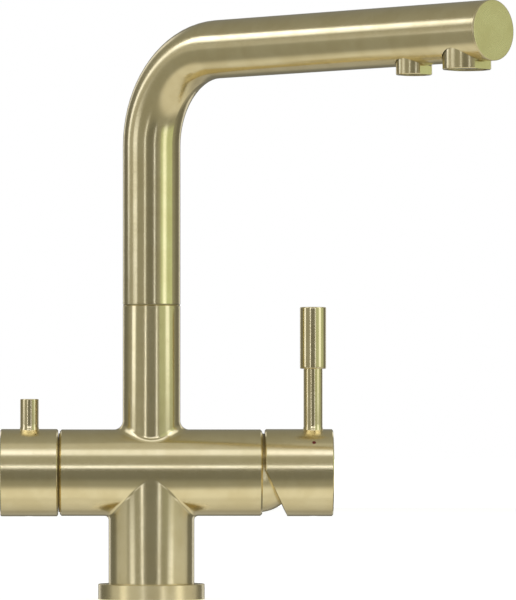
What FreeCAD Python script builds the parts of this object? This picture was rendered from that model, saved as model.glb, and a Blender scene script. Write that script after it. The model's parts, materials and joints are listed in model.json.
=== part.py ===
import FreeCAD, Part
import math
import os
import Sketcher

# Three way filtered water tap, in millimetres.
# Origin at the centre of the base's underside, +Z up, +X along the cross tube to the mixer lever,
# -Y to the front. The spout points between +X and -Y.

doc = FreeCAD.newDocument("filtered_water_tap")
sheet = doc.addObject("Spreadsheet::Sheet", "dim")

SIZES = [
    # cross tube, pillar and neck
    ("axis_height", 66.0, "cross tube's axis above the deck"),
    ("tube_diameter", 45.0, "cross tube"),
    ("tube_chamfer", 0.9, "edge of the cross tube's ends"),
    ("right_arm", 57.5, "pillar's axis to the mixer end"),
    ("left_arm", 47.6, "pillar's axis to the filter end"),
    ("pillar_diameter", 44.65, "pillar under the cross tube"),
    ("pillar_fillet", 2.0, "hollow round under the cross tube"),
    ("neck_diameter", 30.0, "neck above the cross tube"),
    ("neck_rise", 87.0, "cross tube's axis to the swivel seam"),
    ("neck_fillet", 4.5, "hollow round at the neck's foot"),
    ("neck_bore", 24.0, "bore that the spout turns in"),
    ("neck_bore_depth", 49.0, "seam to the bore's floor"),
    ("seam_chamfer", 0.35, "edges at the swivel seam"),
    # base
    ("flange_diameter", 55.4, "ring round the pillar's foot"),
    ("flange_height", 8.3, "ring's height"),
    ("flange_lip", 2.0, "lip that the pillar stands on"),
    ("flange_edge", 0.4, "ring's edge chamfer"),
    ("fit_gap", 0.05, "radial gap of a close fit"),
    ("past", 1.0, "how far a cut runs past the face that it opens"),
    ("gasket_inner", 47.2, "deck gasket's bore"),
    ("gasket_outer", 51.8, "deck gasket's outside"),
    ("gasket_depth", 2.0, "deck gasket's height"),
    ("bay_diameter", 35.0, "hollow for the three tails"),
    ("bay_depth", 34.0, "deck to the hollow's ceiling"),
    # threaded holes in the hollow's ceiling
    ("inlet_circle", 10.0, "radius that the three inlets stand on"),
    ("inlet_diameter", 9.0, "M10x1 inlet thread's bore"),
    ("inlet_depth", 12.0, "inlet thread's depth"),
    ("stud_diameter", 6.8, "M8 stud thread's bore"),
    ("stud_depth", 12.0, "stud thread's depth"),
    ("channel_diameter", 6.0, "drilled waterways"),
    ("port_drop", 6.0, "hot and cold ports below the axis"),
    ("port_rise", 9.0, "mixed water port above the axis"),
    ("mixed_riser_x", 8.5, "mixed water riser from the pillar's axis"),
    # mixer cartridge
    ("cartridge_depth", 31.5, "tube's end to the cartridge's seat"),
    ("cartridge_diameter", 35.0, "cartridge"),
    ("cartridge_gap", 0.2, "radial gap round the cartridge"),
    ("base_thickness", 4.0, "cartridge's base"),
    ("port_diameter", 5.0, "ports of the base and the fixed disc"),
    ("seal_width", 1.3, "port seal's wall"),
    ("seal_depth", 1.4, "port seal's height"),
    ("housing_side", 2.3, "housing's side wall"),
    ("housing_wall", 1.2, "housing's shoulder"),
    ("housing_neck_wall", 2.9, "housing's neck"),
    ("disc_thickness", 4.0, "ceramic discs"),
    ("moving_disc_room", 4.7, "housing's hollow round the moving disc"),
    ("mixing_hollow", 12.0, "hollow under the moving disc"),
    ("film_gap", 0.05, "gap between faces that slide on each other"),
    ("carrier_room", 3.7, "housing's hollow round the carrier"),
    ("carrier_plate", 3.1, "carrier's round plate"),
    ("carrier_height", 5.9, "carrier's whole height"),
    ("key_room", 6.8, "hollow's side to the carrier's key between the rails"),
    ("rail_width", 3.4, "turret's rails"),
    ("rail_length", 16.0, "turret's rails"),
    ("slide_gap", 0.3, "gap between loose sliding parts"),
    ("turret_flange", 1.4, "turret's flange"),
    ("turret_step", 4.7, "housing's hollow past the bore that the turret turns in"),
    ("slot_gap", 0.2, "gap on each side of the lever in its slot"),
    ("turret_overhang", 3.1, "turret's end past the pivot"),
    ("pivot_depth", 2.1, "tube's end to the lever's pivot"),
    ("pin_diameter", 3.0, "lever's pivot pin"),
    ("flow_angle", 25.0, "lever's full tilt"),
    ("lever_diameter", 7.0, "cartridge's lever"),
    ("lever_neck", 4.0, "lever's waist above its ball"),
    ("lever_taper", 3.0, "length of the taper to the waist"),
    ("ball_diameter", 5.2, "lever's ball"),
    ("ball_lift", 2.85, "ball's centre above the moving disc"),
    ("ball_hole", 5.8, "carrier's hole for the ball"),
    ("ball_flare", 7.8, "hole's mouth"),
    ("ball_flare_depth", 1.2, "hole's mouth"),
    ("nut_width", 1.5, "nut's thread past the cartridge's side"),
    ("nut_inset", 0.2, "nut's face below the tube's end"),
    ("nut_notch", 4.0, "spanner notches in the nut's face"),
    ("nut_wall", 2.0, "nut round the dome cover's skirt"),
    ("skirt_depth", 5.0, "dome cover's skirt"),
    ("skirt_wall", 1.4, "dome cover's skirt"),
    ("dome_radius", 20.6, "dome cover, about the lever's pivot"),
    ("dome_wall", 1.5, "dome cover"),
    ("dome_opening", 26.0, "hole that the lever stands out of"),
    # mixer handle and its lever
    ("mixer_gap", 1.5, "tube's end to the handle"),
    ("mixer_diameter", 45.3, "mixer handle"),
    ("mixer_length", 35.4, "mixer handle"),
    ("dome_gap", 0.3, "handle's hollow round the dome"),
    ("heel_start", 2.1, "where the heel's cut starts above the axis"),
    ("heel_angle", 25.5, "heel's cut from the upright"),
    ("handle_chamfer", 0.6, "handles' edges"),
    ("stem_inset", 10.3, "handle's end to the lever's stem"),
    ("lever_past_stem", 4.0, "cartridge lever's end past the stem"),
    ("stem_diameter", 9.9, "lever's stem"),
    ("stem_top", 54.1, "axis to the grip's lower end"),
    ("foot_flare", 0.4, "widening at the foot of stem and pin"),
    ("foot_height", 1.3, "height of that widening over the handle"),
    ("foot_seat", 1.0, "spot face's depth in the handle"),
    ("grip_diameter", 13.6, "lever's grip"),
    ("grip_length", 32.1, "lever's grip"),
    ("grip_chamfer", 0.5, "grip's edges"),
    ("thread_diameter", 6.0, "M6 joints of stem, grip and pin"),
    ("thread_length", 8.5, "M6 joints"),
    ("dot_diameter", 2.0, "temperature dot"),
    ("dot_depth", 1.2, "temperature dot"),
    ("dot_angle", 44.0, "dot's place above the level, at the front"),
    ("screw_diameter", 5.0, "M5 grub screws"),
    ("screw_length", 8.0, "M5 grub screws"),
    ("screw_socket", 2.5, "hexagon socket across flats"),
    ("socket_depth", 2.5, "hexagon socket's depth"),
    # filtered water valve and its handle
    ("valve_depth", 27.6, "tube's end to the valve's seat"),
    ("valve_recess_depth", 7.6, "tube's end to the hexagon's seat"),
    ("valve_recess", 29.0, "recess round the hexagon"),
    ("valve_thread", 20.8, "valve's thread"),
    ("valve_thread_length", 11.0, "valve's thread"),
    ("valve_nose", 16.0, "valve's nose"),
    ("valve_hex", 24.0, "valve's hexagon across flats"),
    ("valve_hex_height", 5.0, "valve's hexagon"),
    ("valve_neck", 18.0, "valve's neck in the handle"),
    ("valve_neck_length", 4.5, "valve's neck"),
    ("valve_window", 4.0, "side windows for the water"),
    ("valve_outlet", 4.0, "valve's seat to the filtered waterway's foot"),
    ("seal_thickness", 0.8, "valve's seat washer"),
    ("seal_bore", 8.0, "valve's seat washer"),
    ("chamber_diameter", 13.2, "hollow round the valve's discs"),
    ("chamber_depth", 9.8, "hollow round the valve's discs"),
    ("valve_disc", 13.0, "valve's ceramic discs"),
    ("valve_disc_thickness", 2.5, "valve's ceramic discs"),
    ("valve_port", 2.6, "ports of the valve's discs"),
    ("valve_port_radius", 3.6, "centre of those ports"),
    ("spindle_diameter", 8.0, "valve's spindle"),
    ("spindle_length", 20.0, "spindle's length past the tube's end"),
    ("filter_gap", 1.0, "tube's end to the filter handle"),
    ("filter_diameter", 45.4, "filter handle"),
    ("filter_length", 29.9, "filter handle"),
    ("filter_hollow", 37.0, "filter handle's hollow"),
    ("filter_hollow_depth", 11.4, "filter handle's hollow"),
    ("boss_diameter", 17.0, "boss round the spindle"),
    ("boss_inset", 2.4, "boss's end inside the handle's edge"),
    ("pin_inset", 14.9, "handle's inner edge to the pin lever"),
    ("lever_pin_diameter", 9.6, "pin lever"),
    ("lever_pin_top", 38.3, "axis to the pin lever's top"),
    ("lever_pin_chamfer", 0.4, "pin lever's top edge"),
    # swivel
    ("washer_thickness", 0.6, "slide washer in the seam"),
    ("washer_inset", 0.3, "slide washer's edge inside the neck's skin"),
    ("sleeve_gap", 0.5, "gap round the spout's sleeve"),
    ("sleeve_wall", 3.5, "spout's sleeve"),
    ("sleeve_lift", 2.0, "sleeve's end over the bore's floor"),
    ("sleeve_in_spout", 17.0, "sleeve inside the spout's tube"),
    ("ring_groove_depth", 2.4, "O-ring groove's bottom from the neck's bore"),
    ("ring_groove_width", 3.0, "O-ring groove"),
    ("ring_upper", 12.0, "upper O-ring below the seam"),
    ("ring_lower", 18.0, "lower O-ring below the seam"),
    ("guide_groove_depth", 1.1, "guide ring groove's bottom from the neck's bore"),
    ("guide_height", 4.5, "guide rings"),
    ("guide_upper", 5.5, "upper guide ring below the seam"),
    ("guide_lower", 30.0, "lower guide ring below the seam"),
    ("guide_slit", 8.0, "slit of a guide ring, in degrees"),
    ("keeper_lift", 8.0, "retaining screw above the bore's floor"),
    ("keeper_tip", 4.0, "retaining screw's tip"),
    ("keeper_joint", 0.5, "tip's root inside the shank"),
    ("keeper_groove_depth", 1.8, "that tip's groove, bottom from the neck's bore"),
    ("spigot_diameter", 8.0, "filtered water spigot"),
    ("spigot_bore", 4.8, "filtered water spigot"),
    ("spigot_root", 6.0, "spigot pressed into the floor"),
    ("spigot_height", 18.0, "spigot above the floor"),
    ("spigot_collar", 9.2, "spigot's collar"),
    ("spigot_collar_height", 1.5, "spigot's collar"),
    ("spigot_groove", 6.2, "spigot's O-ring groove"),
    ("spigot_groove_width", 1.2, "spigot's O-ring groove"),
    ("spigot_ring_lift", 13.0, "spigot's O-ring above the floor"),
    ("socket_diameter", 11.6, "filtered tube's lower socket"),
    ("socket_lift", 3.0, "socket's end above the floor"),
    ("socket_shoulder", 20.0, "socket's shoulder above the floor"),
    ("socket_length", 30.0, "socket"),
    # spout
    ("spout_turn", 45.0, "spout's direction from +X to the front"),
    ("spout_diameter", 30.0, "spout's tube"),
    ("spout_wall", 1.5, "spout's tube"),
    ("spout_rise", 130.6, "seam to the level arm's axis"),
    ("spout_bend", 48.0, "bend's radius at the tube's axis"),
    ("spout_reach", 237.0, "pillar's axis to the end face"),
    ("cap_thickness", 1.6, "end cap"),
    ("cap_chamfer", 0.4, "end cap's edges"),
    ("block_length", 66.0, "outlet block inside the arm's end"),
    ("feed_diameter", 7.0, "mixed water channel in the block"),
    ("feed_rise", 8.5, "that channel above the arm's axis"),
    ("inner_tube_diameter", 8.0, "filtered water tube"),
    ("inner_tube_wall", 1.0, "filtered water tube"),
    ("inner_tube_socket", 7.0, "that tube's end inside the block"),
    ("outlet_gap", 0.35, "open ring round each outlet"),
    # outlets
    ("mixed_inset", 18.0, "arm's end to the mixed outlet"),
    ("outlet_spacing", 35.0, "mixed outlet to the filtered outlet"),
    ("mixed_diameter", 24.0, "mixed outlet"),
    ("mixed_drop", 3.6, "mixed outlet below the arm"),
    ("mixed_thread", 21.0, "mixed outlet's thread"),
    ("mixed_counterbore", 6.5, "arm's axis to the counterbore's top"),
    ("mixed_thread_top", 1.0, "arm's axis to the thread's end"),
    ("mixed_bore", 19.6, "bore for the aerator"),
    ("mixed_bore_depth", 7.0, "bore for the aerator"),
    ("mixed_way", 16.4, "waterway above the aerator"),
    ("mixed_flats", 21.0, "spanner flats"),
    ("filtered_diameter", 18.0, "filtered outlet"),
    ("filtered_drop", 4.6, "filtered outlet below the arm"),
    ("filtered_thread", 14.0, "filtered outlet's thread"),
    ("filtered_counterbore", 9.0, "arm's axis to the counterbore's top"),
    ("filtered_thread_top", 4.5, "arm's axis to the thread's end"),
    ("filtered_bore", 13.2, "bore for the insert"),
    ("filtered_bore_depth", 6.0, "bore for the insert"),
    ("filtered_way", 9.0, "waterway above the insert"),
    ("filtered_rise", 0.5, "waterway's top above the feed"),
    ("filtered_flats", 15.8, "spanner flats"),
    ("flat_height", 4.2, "spanner flats' height"),
    ("outlet_chamfer", 0.4, "outlets' lower edges"),
    ("insert_inset", 1.1, "insert's face above the outlet's rim"),
    ("outlet_washer", 1.0, "washer above each insert"),
    ("hole_diameter", 2.2, "water holes in the inserts"),
]

for row, (alias, size, meaning) in enumerate(SIZES, start=1):
    sheet.set(f"A{row}", alias)
    sheet.set(f"B{row}", str(size))
    sheet.set(f"C{row}", meaning)
    sheet.setAlias(f"B{row}", alias)
doc.recompute()

# Places along the cross tube, as expressions of the sheet's cells.
RIGHT_END = "dim.right_arm"
LEFT_END = "-dim.left_arm"
PIVOT = "(dim.right_arm - dim.pivot_depth)"
CARTRIDGE_SEAT = "(dim.right_arm - dim.cartridge_depth)"
BASE_TOP = f"({CARTRIDGE_SEAT} + dim.base_thickness)"
FIXED_TOP = f"({BASE_TOP} + dim.disc_thickness)"
MOVING_LOW = f"({FIXED_TOP} + dim.film_gap)"
CARRIER_LOW = f"({MOVING_LOW} + dim.disc_thickness)"
CARRIER_STEP = f"({CARRIER_LOW} + dim.carrier_plate)"
CARRIER_TOP = f"({CARRIER_LOW} + dim.carrier_height)"
TURRET_LOW = f"({CARRIER_TOP} + dim.slide_gap)"
TURRET_STEP = f"({TURRET_LOW} + dim.turret_flange)"
CAVITY_END = f"({TURRET_STEP} + dim.slide_gap)"
NUT_SEAT = f"({CAVITY_END} + dim.housing_wall)"
TURRET_END = f"({PIVOT} + dim.turret_overhang)"
BALL = f"({CARRIER_LOW} + dim.ball_lift)"
MIXER_LOW = "(dim.right_arm + dim.mixer_gap)"
MIXER_END = f"({MIXER_LOW} + dim.mixer_length)"
STEM = f"({MIXER_END} - dim.stem_inset)"
LEVER_END = f"({STEM} + dim.lever_past_stem)"
DISC_OFFSET = f"(({PIVOT} - {BALL}) * sin(dim.flow_angle) / 2)"

VALVE_SEAT = "-(dim.left_arm - dim.valve_depth)"
HEX_SEAT = "-(dim.left_arm - dim.valve_recess_depth)"
HEX_END = f"({HEX_SEAT} - dim.valve_hex_height)"
NECK_END = f"({HEX_END} - dim.valve_neck_length)"
NOSE_END = f"({VALVE_SEAT} - dim.seal_thickness)"
NOSE_ROOT = f"({HEX_SEAT} + dim.valve_thread_length)"
VALVE_CHAMBER_END = f"({NOSE_END} - dim.chamber_depth)"
VALVE_FIXED_END = f"({NOSE_END} - dim.valve_disc_thickness)"
VALVE_MOVING_LOW = f"({VALVE_FIXED_END} - dim.film_gap)"
VALVE_MOVING_END = f"({VALVE_MOVING_LOW} - dim.valve_disc_thickness)"
SPINDLE_END = "-(dim.left_arm + dim.spindle_length)"
FILTER_LOW = "-(dim.left_arm + dim.filter_gap)"
FILTER_END = f"({FILTER_LOW} - dim.filter_length)"
PIN = f"({FILTER_LOW} - dim.pin_inset)"

# Heights from the cross tube's axis.
PILLAR_FOOT = "-(dim.axis_height - dim.flange_lip)"
BAY_CEILING = "-(dim.axis_height - dim.bay_depth)"
NECK_FLOOR = "(dim.neck_rise - dim.neck_bore_depth)"
KEEPER = f"({NECK_FLOOR} + dim.keeper_lift)"
INLET_X = "(dim.inlet_circle / 2)"
INLET_Y = "(dim.inlet_circle * sqrt(3) / 2)"

# Heights from the spout's lower edge, and of its lower edge and level arm above the deck.
SWIVEL_FLOOR = "-(dim.neck_bore_depth + dim.washer_thickness + dim.film_gap)"
KEEPER_BELOW = f"({SWIVEL_FLOOR} + dim.keeper_lift)"
SPOUT_BASE = "(dim.axis_height + dim.neck_rise + dim.washer_thickness + dim.film_gap)"
ARM_HEIGHT = f"({SPOUT_BASE} + dim.spout_rise)"
TUBE_END = "(dim.spout_reach - dim.cap_thickness)"
BLOCK_START = f"({TUBE_END} - dim.block_length)"
OUTLET_AT = {"mixed": "(dim.spout_reach - dim.mixed_inset)",
             "filtered": "(dim.spout_reach - dim.mixed_inset - dim.outlet_spacing)"}
MIXED_RIM = "-(dim.spout_diameter / 2 + dim.mixed_drop)"
FILTERED_RIM = "-(dim.spout_diameter / 2 + dim.filtered_drop)"

PARTS = []


def value(expression):
    result = sheet.evalExpression(expression)
    return float(getattr(result, "Value", result))


def half(alias):
    return f"(dim.{alias} / 2)"


def bored_in(alias):
    # A radius inside the neck's bore, that far from its wall.
    return f"(dim.neck_bore / 2 - dim.{alias})"


def keep(item, label):
    item.Label = label
    PARTS.append(item)
    return item


def place(item, x="0", y="0", z="0", direction=(0, 0, 1), turn=None):
    # The item's own Z axis is laid along the direction, or the item is turned about it.
    base = FreeCAD.Vector(value(x), value(y), value(z))
    axis = FreeCAD.Vector(*direction)
    if turn is None:
        rotation = FreeCAD.Rotation(FreeCAD.Vector(0, 0, 1), axis)
    else:
        rotation = FreeCAD.Rotation(axis, value(turn))
    item.Placement = FreeCAD.Placement(base, rotation)
    for name, expression in (("x", x), ("y", y), ("z", z)):
        item.setExpression("Placement.Base." + name, expression)
    if turn is not None:
        item.setExpression("Placement.Rotation.Angle", turn)
    return item


def on_cross_tube(item, x="0", lift="0"):
    return place(item, x=x, z=f"dim.axis_height + {lift}")


def on_spout(item, height=SPOUT_BASE, out="0"):
    along = f"({out}) * cos(dim.spout_turn)"
    front = f"-({out}) * sin(dim.spout_turn)"
    return place(item, along, front, height, direction=(0, 0, -1), turn="dim.spout_turn")


def new_body(label):
    return keep(doc.addObject("PartDesign::Body", label), label)


def blank_sketch(body, name, role, lift=None):
    sketch = body.newObject("Sketcher::SketchObject", name)
    plane = next(item for item in body.Origin.OriginFeatures if item.Role == role)
    sketch.AttachmentSupport = [(plane, "")]
    sketch.MapMode = "FlatFace"
    if lift is not None:
        sketch.setExpression("AttachmentOffset.Base.z", lift)
    return sketch


def fix_point(sketch, index, end, u, v):
    for kind, expression, axis in (("DistanceX", u, -2), ("DistanceY", v, -1)):
        if expression == "0":
            sketch.addConstraint(Sketcher.Constraint("PointOnObject", index, end, axis))
            continue
        rule = Sketcher.Constraint(kind, -1, 1, index, end, value(expression))
        number = sketch.addConstraint(rule)
        sketch.setExpression(f"Constraints[{number}]", expression)


def outline(body, name, role, points, lift=None):
    sketch = blank_sketch(body, name, role, lift)
    corners = [FreeCAD.Vector(value(u), value(v), 0) for u, v in points]
    for start, end in zip(corners, corners[1:] + corners[:1]):
        sketch.addGeometry(Part.LineSegment(start, end), False)
    for index in range(len(points)):
        following = (index + 1) % len(points)
        sketch.addConstraint(Sketcher.Constraint("Coincident", index, 2, following, 1))
    for index, (u, v) in enumerate(points):
        fix_point(sketch, index, 1, u, v)
    return sketch


def circles(body, name, role, rings, lift=None):
    sketch = blank_sketch(body, name, role, lift)
    for index, (u, v, radius) in enumerate(rings):
        centre = FreeCAD.Vector(value(u), value(v), 0)
        sketch.addGeometry(Part.Circle(centre, FreeCAD.Vector(0, 0, 1), value(radius)), False)
        fix_point(sketch, index, 3, u, v)
        number = sketch.addConstraint(Sketcher.Constraint("Radius", index, value(radius)))
        sketch.setExpression(f"Constraints[{number}]", radius)
    return sketch


def turned(body, name, profile, axis="H_Axis", cut=False, sweep="360"):
    # The profile's points are (place along the axis, radius).
    points = profile if axis == "H_Axis" else [(radius, along) for along, radius in profile]
    sketch = outline(body, name + "_profile", "XZ_Plane", points)
    kind = "PartDesign::Groove" if cut else "PartDesign::Revolution"
    feature = body.newObject(kind, name)
    feature.Profile = sketch
    feature.ReferenceAxis = (sketch, [axis])
    feature.setExpression("Angle", sweep)
    return feature


def bored(body, name, start, end, radius, axis="H_Axis"):
    profile = [(start, "0"), (end, "0"), (end, radius), (start, radius)]
    return turned(body, name, profile, axis, cut=True)


def extruded(body, name, sketch, length, kind="Pad", backwards=False, both_ways=False):
    feature = body.newObject("PartDesign::" + kind, name)
    feature.Profile = sketch
    feature.setExpression("Length", length)
    feature.Reversed = backwards
    feature.Midplane = both_ways
    return feature


def drilled(body, name, radius, length, x="0", y="0", z="0", direction=(0, 0, 1)):
    feature = body.newObject("PartDesign::SubtractiveCylinder", name)
    feature.setExpression("Radius", radius)
    feature.setExpression("Height", length)
    return place(feature, x, y, z, direction)


def around(body, feature, sketch, count):
    pattern = body.newObject("PartDesign::PolarPattern", feature.Name + "_pattern")
    pattern.Originals = [feature]
    pattern.Axis = (sketch, ["N_Axis"])
    pattern.Angle = 360
    pattern.Occurrences = count
    body.Tip = pattern
    return pattern


def rounded(body, name, base, radius, chosen):
    doc.recompute()
    edges = [f"Edge{number}" for number, edge in enumerate(base.Shape.Edges, start=1)
             if chosen(edge.BoundBox)]
    feature = body.newObject("PartDesign::Fillet", name)
    feature.Base = (base, edges)
    feature.setExpression("Radius", radius)
    return feature


def cylinder(name, radius, length, x="0", y="0", z="0", direction=(0, 0, 1)):
    item = doc.addObject("Part::Cylinder", name)
    item.setExpression("Radius", radius)
    item.setExpression("Height", length)
    return place(item, x, y, z, direction)


def torus(name, centre_radius, wire_radius, z):
    item = doc.addObject("Part::Torus", name)
    item.setExpression("Radius1", centre_radius)
    item.setExpression("Radius2", wire_radius)
    return place(item, z=z)


def group(label, items):
    compound = doc.addObject("Part::Compound", label)
    compound.Links = items
    return keep(compound, label)


def ring_profile(start, end, inner, outer):
    return [(start, inner), (end, inner), (end, outer), (start, outer)]


# Fixed body

CAVITY = f"({half('cartridge_diameter')} - dim.housing_side)"
CARRIER = f"({CAVITY} - dim.carrier_room)"
KEY = f"({CAVITY} - dim.key_room)"
TURRET_BORE = f"({CAVITY} - dim.turret_step)"
HOUSING_NECK = f"({TURRET_BORE} + dim.housing_neck_wall)"
NUT_RADIUS = f"({half('cartridge_diameter')} + dim.nut_width)"
SKIRT = f"({NUT_RADIUS} - dim.nut_wall - dim.fit_gap)"
SLOT = f"({half('lever_diameter')} + dim.slot_gap)"
SLOT_UP = f"(2 * {DISC_OFFSET} + {half('ball_diameter')} - dim.slide_gap)"
SLOT_DOWN = (f"(dim.turret_overhang * tan(dim.flow_angle) + {half('lever_diameter')}"
             " / cos(dim.flow_angle) + 2 * dim.slide_gap)")


def body_casting():
    body = new_body("body_casting")
    radius = half("tube_diameter")
    chamfer = "dim.tube_chamfer"
    turned(body, "cross_tube", [
        (LEFT_END, "0"), (RIGHT_END, "0"), (RIGHT_END, f"{radius} - {chamfer}"),
        (f"{RIGHT_END} - {chamfer}", radius), (f"{LEFT_END} + {chamfer}", radius),
        (LEFT_END, f"{radius} - {chamfer}")])
    pillar = half("pillar_diameter")
    foot = [(PILLAR_FOOT, "0"), ("0", "0"), ("0", pillar), (PILLAR_FOOT, pillar)]
    turned(body, "pillar", foot, "V_Axis")
    neck = half("neck_diameter")
    edge = "dim.seam_chamfer"
    stem = turned(body, "neck", [
        ("0", "0"), ("dim.neck_rise", "0"), ("dim.neck_rise", f"{neck} - {edge}"),
        (f"dim.neck_rise - {edge}", neck), ("0", neck)], "V_Axis")

    neck_width = value("dim.neck_diameter + dim.past")
    pillar_width = value("dim.pillar_diameter + dim.past")
    above = rounded(body, "neck_round", stem, "dim.neck_fillet",
                    lambda box: 0 < box.ZMin and box.ZMax <= value(radius) + 0.01
                    and 1 < box.XLength < neck_width)
    rounded(body, "pillar_round", above, "dim.pillar_fillet",
            lambda box: box.ZMax < 0 and box.ZLength > 1 and box.XLength > 1
            and box.XLength < pillar_width and box.ZMin > -value(radius) - 0.01)

    cartridge = f"{half('cartridge_diameter')} + dim.cartridge_gap"
    thread = f"{NUT_RADIUS} + dim.fit_gap"
    turned(body, "cartridge_bore", [
        (CARTRIDGE_SEAT, "0"), (f"{RIGHT_END} + dim.past", "0"), (f"{RIGHT_END} + dim.past", thread),
        (f"{NUT_SEAT} - dim.past", thread), (f"{NUT_SEAT} - dim.past", cartridge),
        (CARTRIDGE_SEAT, cartridge)], cut=True)
    valve = f"{half('valve_thread')} + dim.fit_gap"
    recess = half("valve_recess")
    turned(body, "valve_bore", [
        (f"{LEFT_END} - dim.past", "0"), (VALVE_SEAT, "0"), (VALVE_SEAT, valve), (HEX_SEAT, valve),
        (HEX_SEAT, recess), (f"{LEFT_END} - dim.past", recess)], cut=True)
    bored(body, "hose_bay", f"{PILLAR_FOOT} - dim.past", BAY_CEILING, half("bay_diameter"), "V_Axis")
    spigot_floor = f"{NECK_FLOOR} - dim.spigot_root"
    spigot = half("spigot_diameter")
    swivel = half("neck_bore")
    turned(body, "neck_bore", [
        (spigot_floor, "0"), ("dim.neck_rise + dim.past", "0"), ("dim.neck_rise + dim.past", swivel),
        (NECK_FLOOR, swivel), (NECK_FLOOR, spigot), (spigot_floor, spigot)], "V_Axis", cut=True)

    ring = [("-dim.inlet_circle", "0", half("inlet_diameter"))]
    inlet_sketch = circles(body, "inlet_sketch", "XY_Plane", ring, BAY_CEILING)
    inlet = extruded(body, "inlet", inlet_sketch, "dim.inlet_depth", "Pocket", backwards=True)
    around(body, inlet, inlet_sketch, 3)
    drilled(body, "stud_hole", half("stud_diameter"), "dim.stud_depth + dim.past",
            z=f"{BAY_CEILING} - dim.past")
    waterways(body)
    drilled(body, "keeper_hole", half("screw_diameter"), half("neck_diameter"),
            y=f"{half('neck_bore')} - dim.past", z=KEEPER, direction=(0, 1, 0))
    on_cross_tube(body)


def waterways(body):
    bore = half("channel_diameter")
    start = f"({BAY_CEILING} + dim.inlet_depth - dim.past)"
    for name, side in (("hot", ""), ("cold", "-")):
        drilled(body, name + "_riser", bore, f"-dim.port_drop + {bore} - {start}",
                INLET_X, side + INLET_Y, start)
        drilled(body, name + "_run", bore, f"{CARTRIDGE_SEAT} - {INLET_X} + dim.past",
                INLET_X, side + INLET_Y, "-dim.port_drop", (1, 0, 0))
    drilled(body, "filter_riser", bore, f"{bore} - {start}", "-dim.inlet_circle", "0", start)
    drilled(body, "filter_run", bore, f"-dim.inlet_circle - ({VALVE_SEAT}) + dim.past",
            "-dim.inlet_circle", direction=(-1, 0, 0))
    drilled(body, "mixed_run", bore, f"{CARTRIDGE_SEAT} - dim.mixed_riser_x + dim.past",
            "dim.mixed_riser_x", "0", "dim.port_rise", (1, 0, 0))
    drilled(body, "mixed_riser", bore, f"{NECK_FLOOR} - dim.port_rise + dim.past",
            "dim.mixed_riser_x", "0", "dim.port_rise")
    # From the valve's outlet chamber up to the foot of the filtered water spigot.
    chamber_x = f"(({VALVE_SEAT}) - dim.valve_outlet)"
    chamber_z = half("valve_nose")
    top = f"({NECK_FLOOR} - dim.spigot_root + dim.past)"
    slant = drilled(body, "filtered_slant", half("spigot_bore"),
                    f"sqrt({chamber_x} ^ 2 + ({top} - {chamber_z}) ^ 2)", z=top)
    lean = f"180deg + atan({chamber_x} / ({chamber_z} - {top}))"
    place(slant, z=top, direction=(0, 1, 0), turn=lean)


def base_flange():
    body = new_body("base_flange")
    outer = half("flange_diameter")
    edge = "dim.flange_edge"
    height = "dim.flange_height"
    bay = half("bay_diameter")
    pillar = f"{half('pillar_diameter')} + dim.fit_gap"
    turned(body, "ring", [
        ("0", bay), ("0", f"{outer} - {edge}"), (edge, outer), (f"{height} - {edge}", outer),
        (height, f"{outer} - {edge}"), (height, pillar), ("dim.flange_lip", pillar),
        ("dim.flange_lip", bay)], "V_Axis")
    groove = ring_profile("-1", "dim.gasket_depth", half("gasket_inner"), half("gasket_outer"))
    turned(body, "gasket_groove", groove, "V_Axis", cut=True)
    place(body)


def deck_gasket():
    body = new_body("deck_gasket")
    ring = ring_profile("0", "dim.gasket_depth", half("gasket_inner"), half("gasket_outer"))
    turned(body, "gasket_ring", ring, "V_Axis")
    place(body)


# Mixer cartridge

def ports(radius):
    return [(side + INLET_Y, "-dim.port_drop", radius) for side in ("", "-")] + [
        ("0", "dim.port_rise", radius)]


def cartridge_base():
    body = new_body("cartridge_base")
    profile = [(CARTRIDGE_SEAT, "0"), (BASE_TOP, "0"), (BASE_TOP, half("cartridge_diameter")),
               (CARTRIDGE_SEAT, half("cartridge_diameter"))]
    turned(body, "base_disc", profile)
    holes = circles(body, "port_sketch", "YZ_Plane", ports(half("port_diameter")), BASE_TOP)
    extruded(body, "port_holes", holes, "dim.base_thickness", "Pocket")
    seat = ports(f"{half('port_diameter')} + dim.seal_width")
    seats = circles(body, "seal_seat_sketch", "YZ_Plane", seat, CARTRIDGE_SEAT)
    extruded(body, "seal_seats", seats, "dim.seal_depth", "Pocket", backwards=True)
    on_cross_tube(body)


def cartridge_seals():
    rings = []
    for number, (y, z, bore) in enumerate(ports(half("port_diameter"))):
        height = f"dim.axis_height + {z}"
        outer = cylinder(f"seal_outer_{number}", f"{bore} + dim.seal_width", "dim.seal_depth",
                         CARTRIDGE_SEAT, y, height, (1, 0, 0))
        inner = cylinder(f"seal_inner_{number}", bore, "dim.seal_depth",
                         CARTRIDGE_SEAT, y, height, (1, 0, 0))
        ring = doc.addObject("Part::Cut", f"seal_ring_{number}")
        ring.Base = outer
        ring.Tool = inner
        rings.append(ring)
    group("cartridge_seals", rings)


def cartridge_housing():
    body = new_body("cartridge_housing")
    outer = half("cartridge_diameter")
    neck_end = f"({TURRET_END} - 2 * dim.slide_gap)"
    turned(body, "housing_shell", [
        (BASE_TOP, outer), (NUT_SEAT, outer), (NUT_SEAT, HOUSING_NECK), (neck_end, HOUSING_NECK),
        (neck_end, TURRET_BORE), (CAVITY_END, TURRET_BORE), (CAVITY_END, CAVITY),
        (BASE_TOP, CAVITY)])
    on_cross_tube(body)


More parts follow.
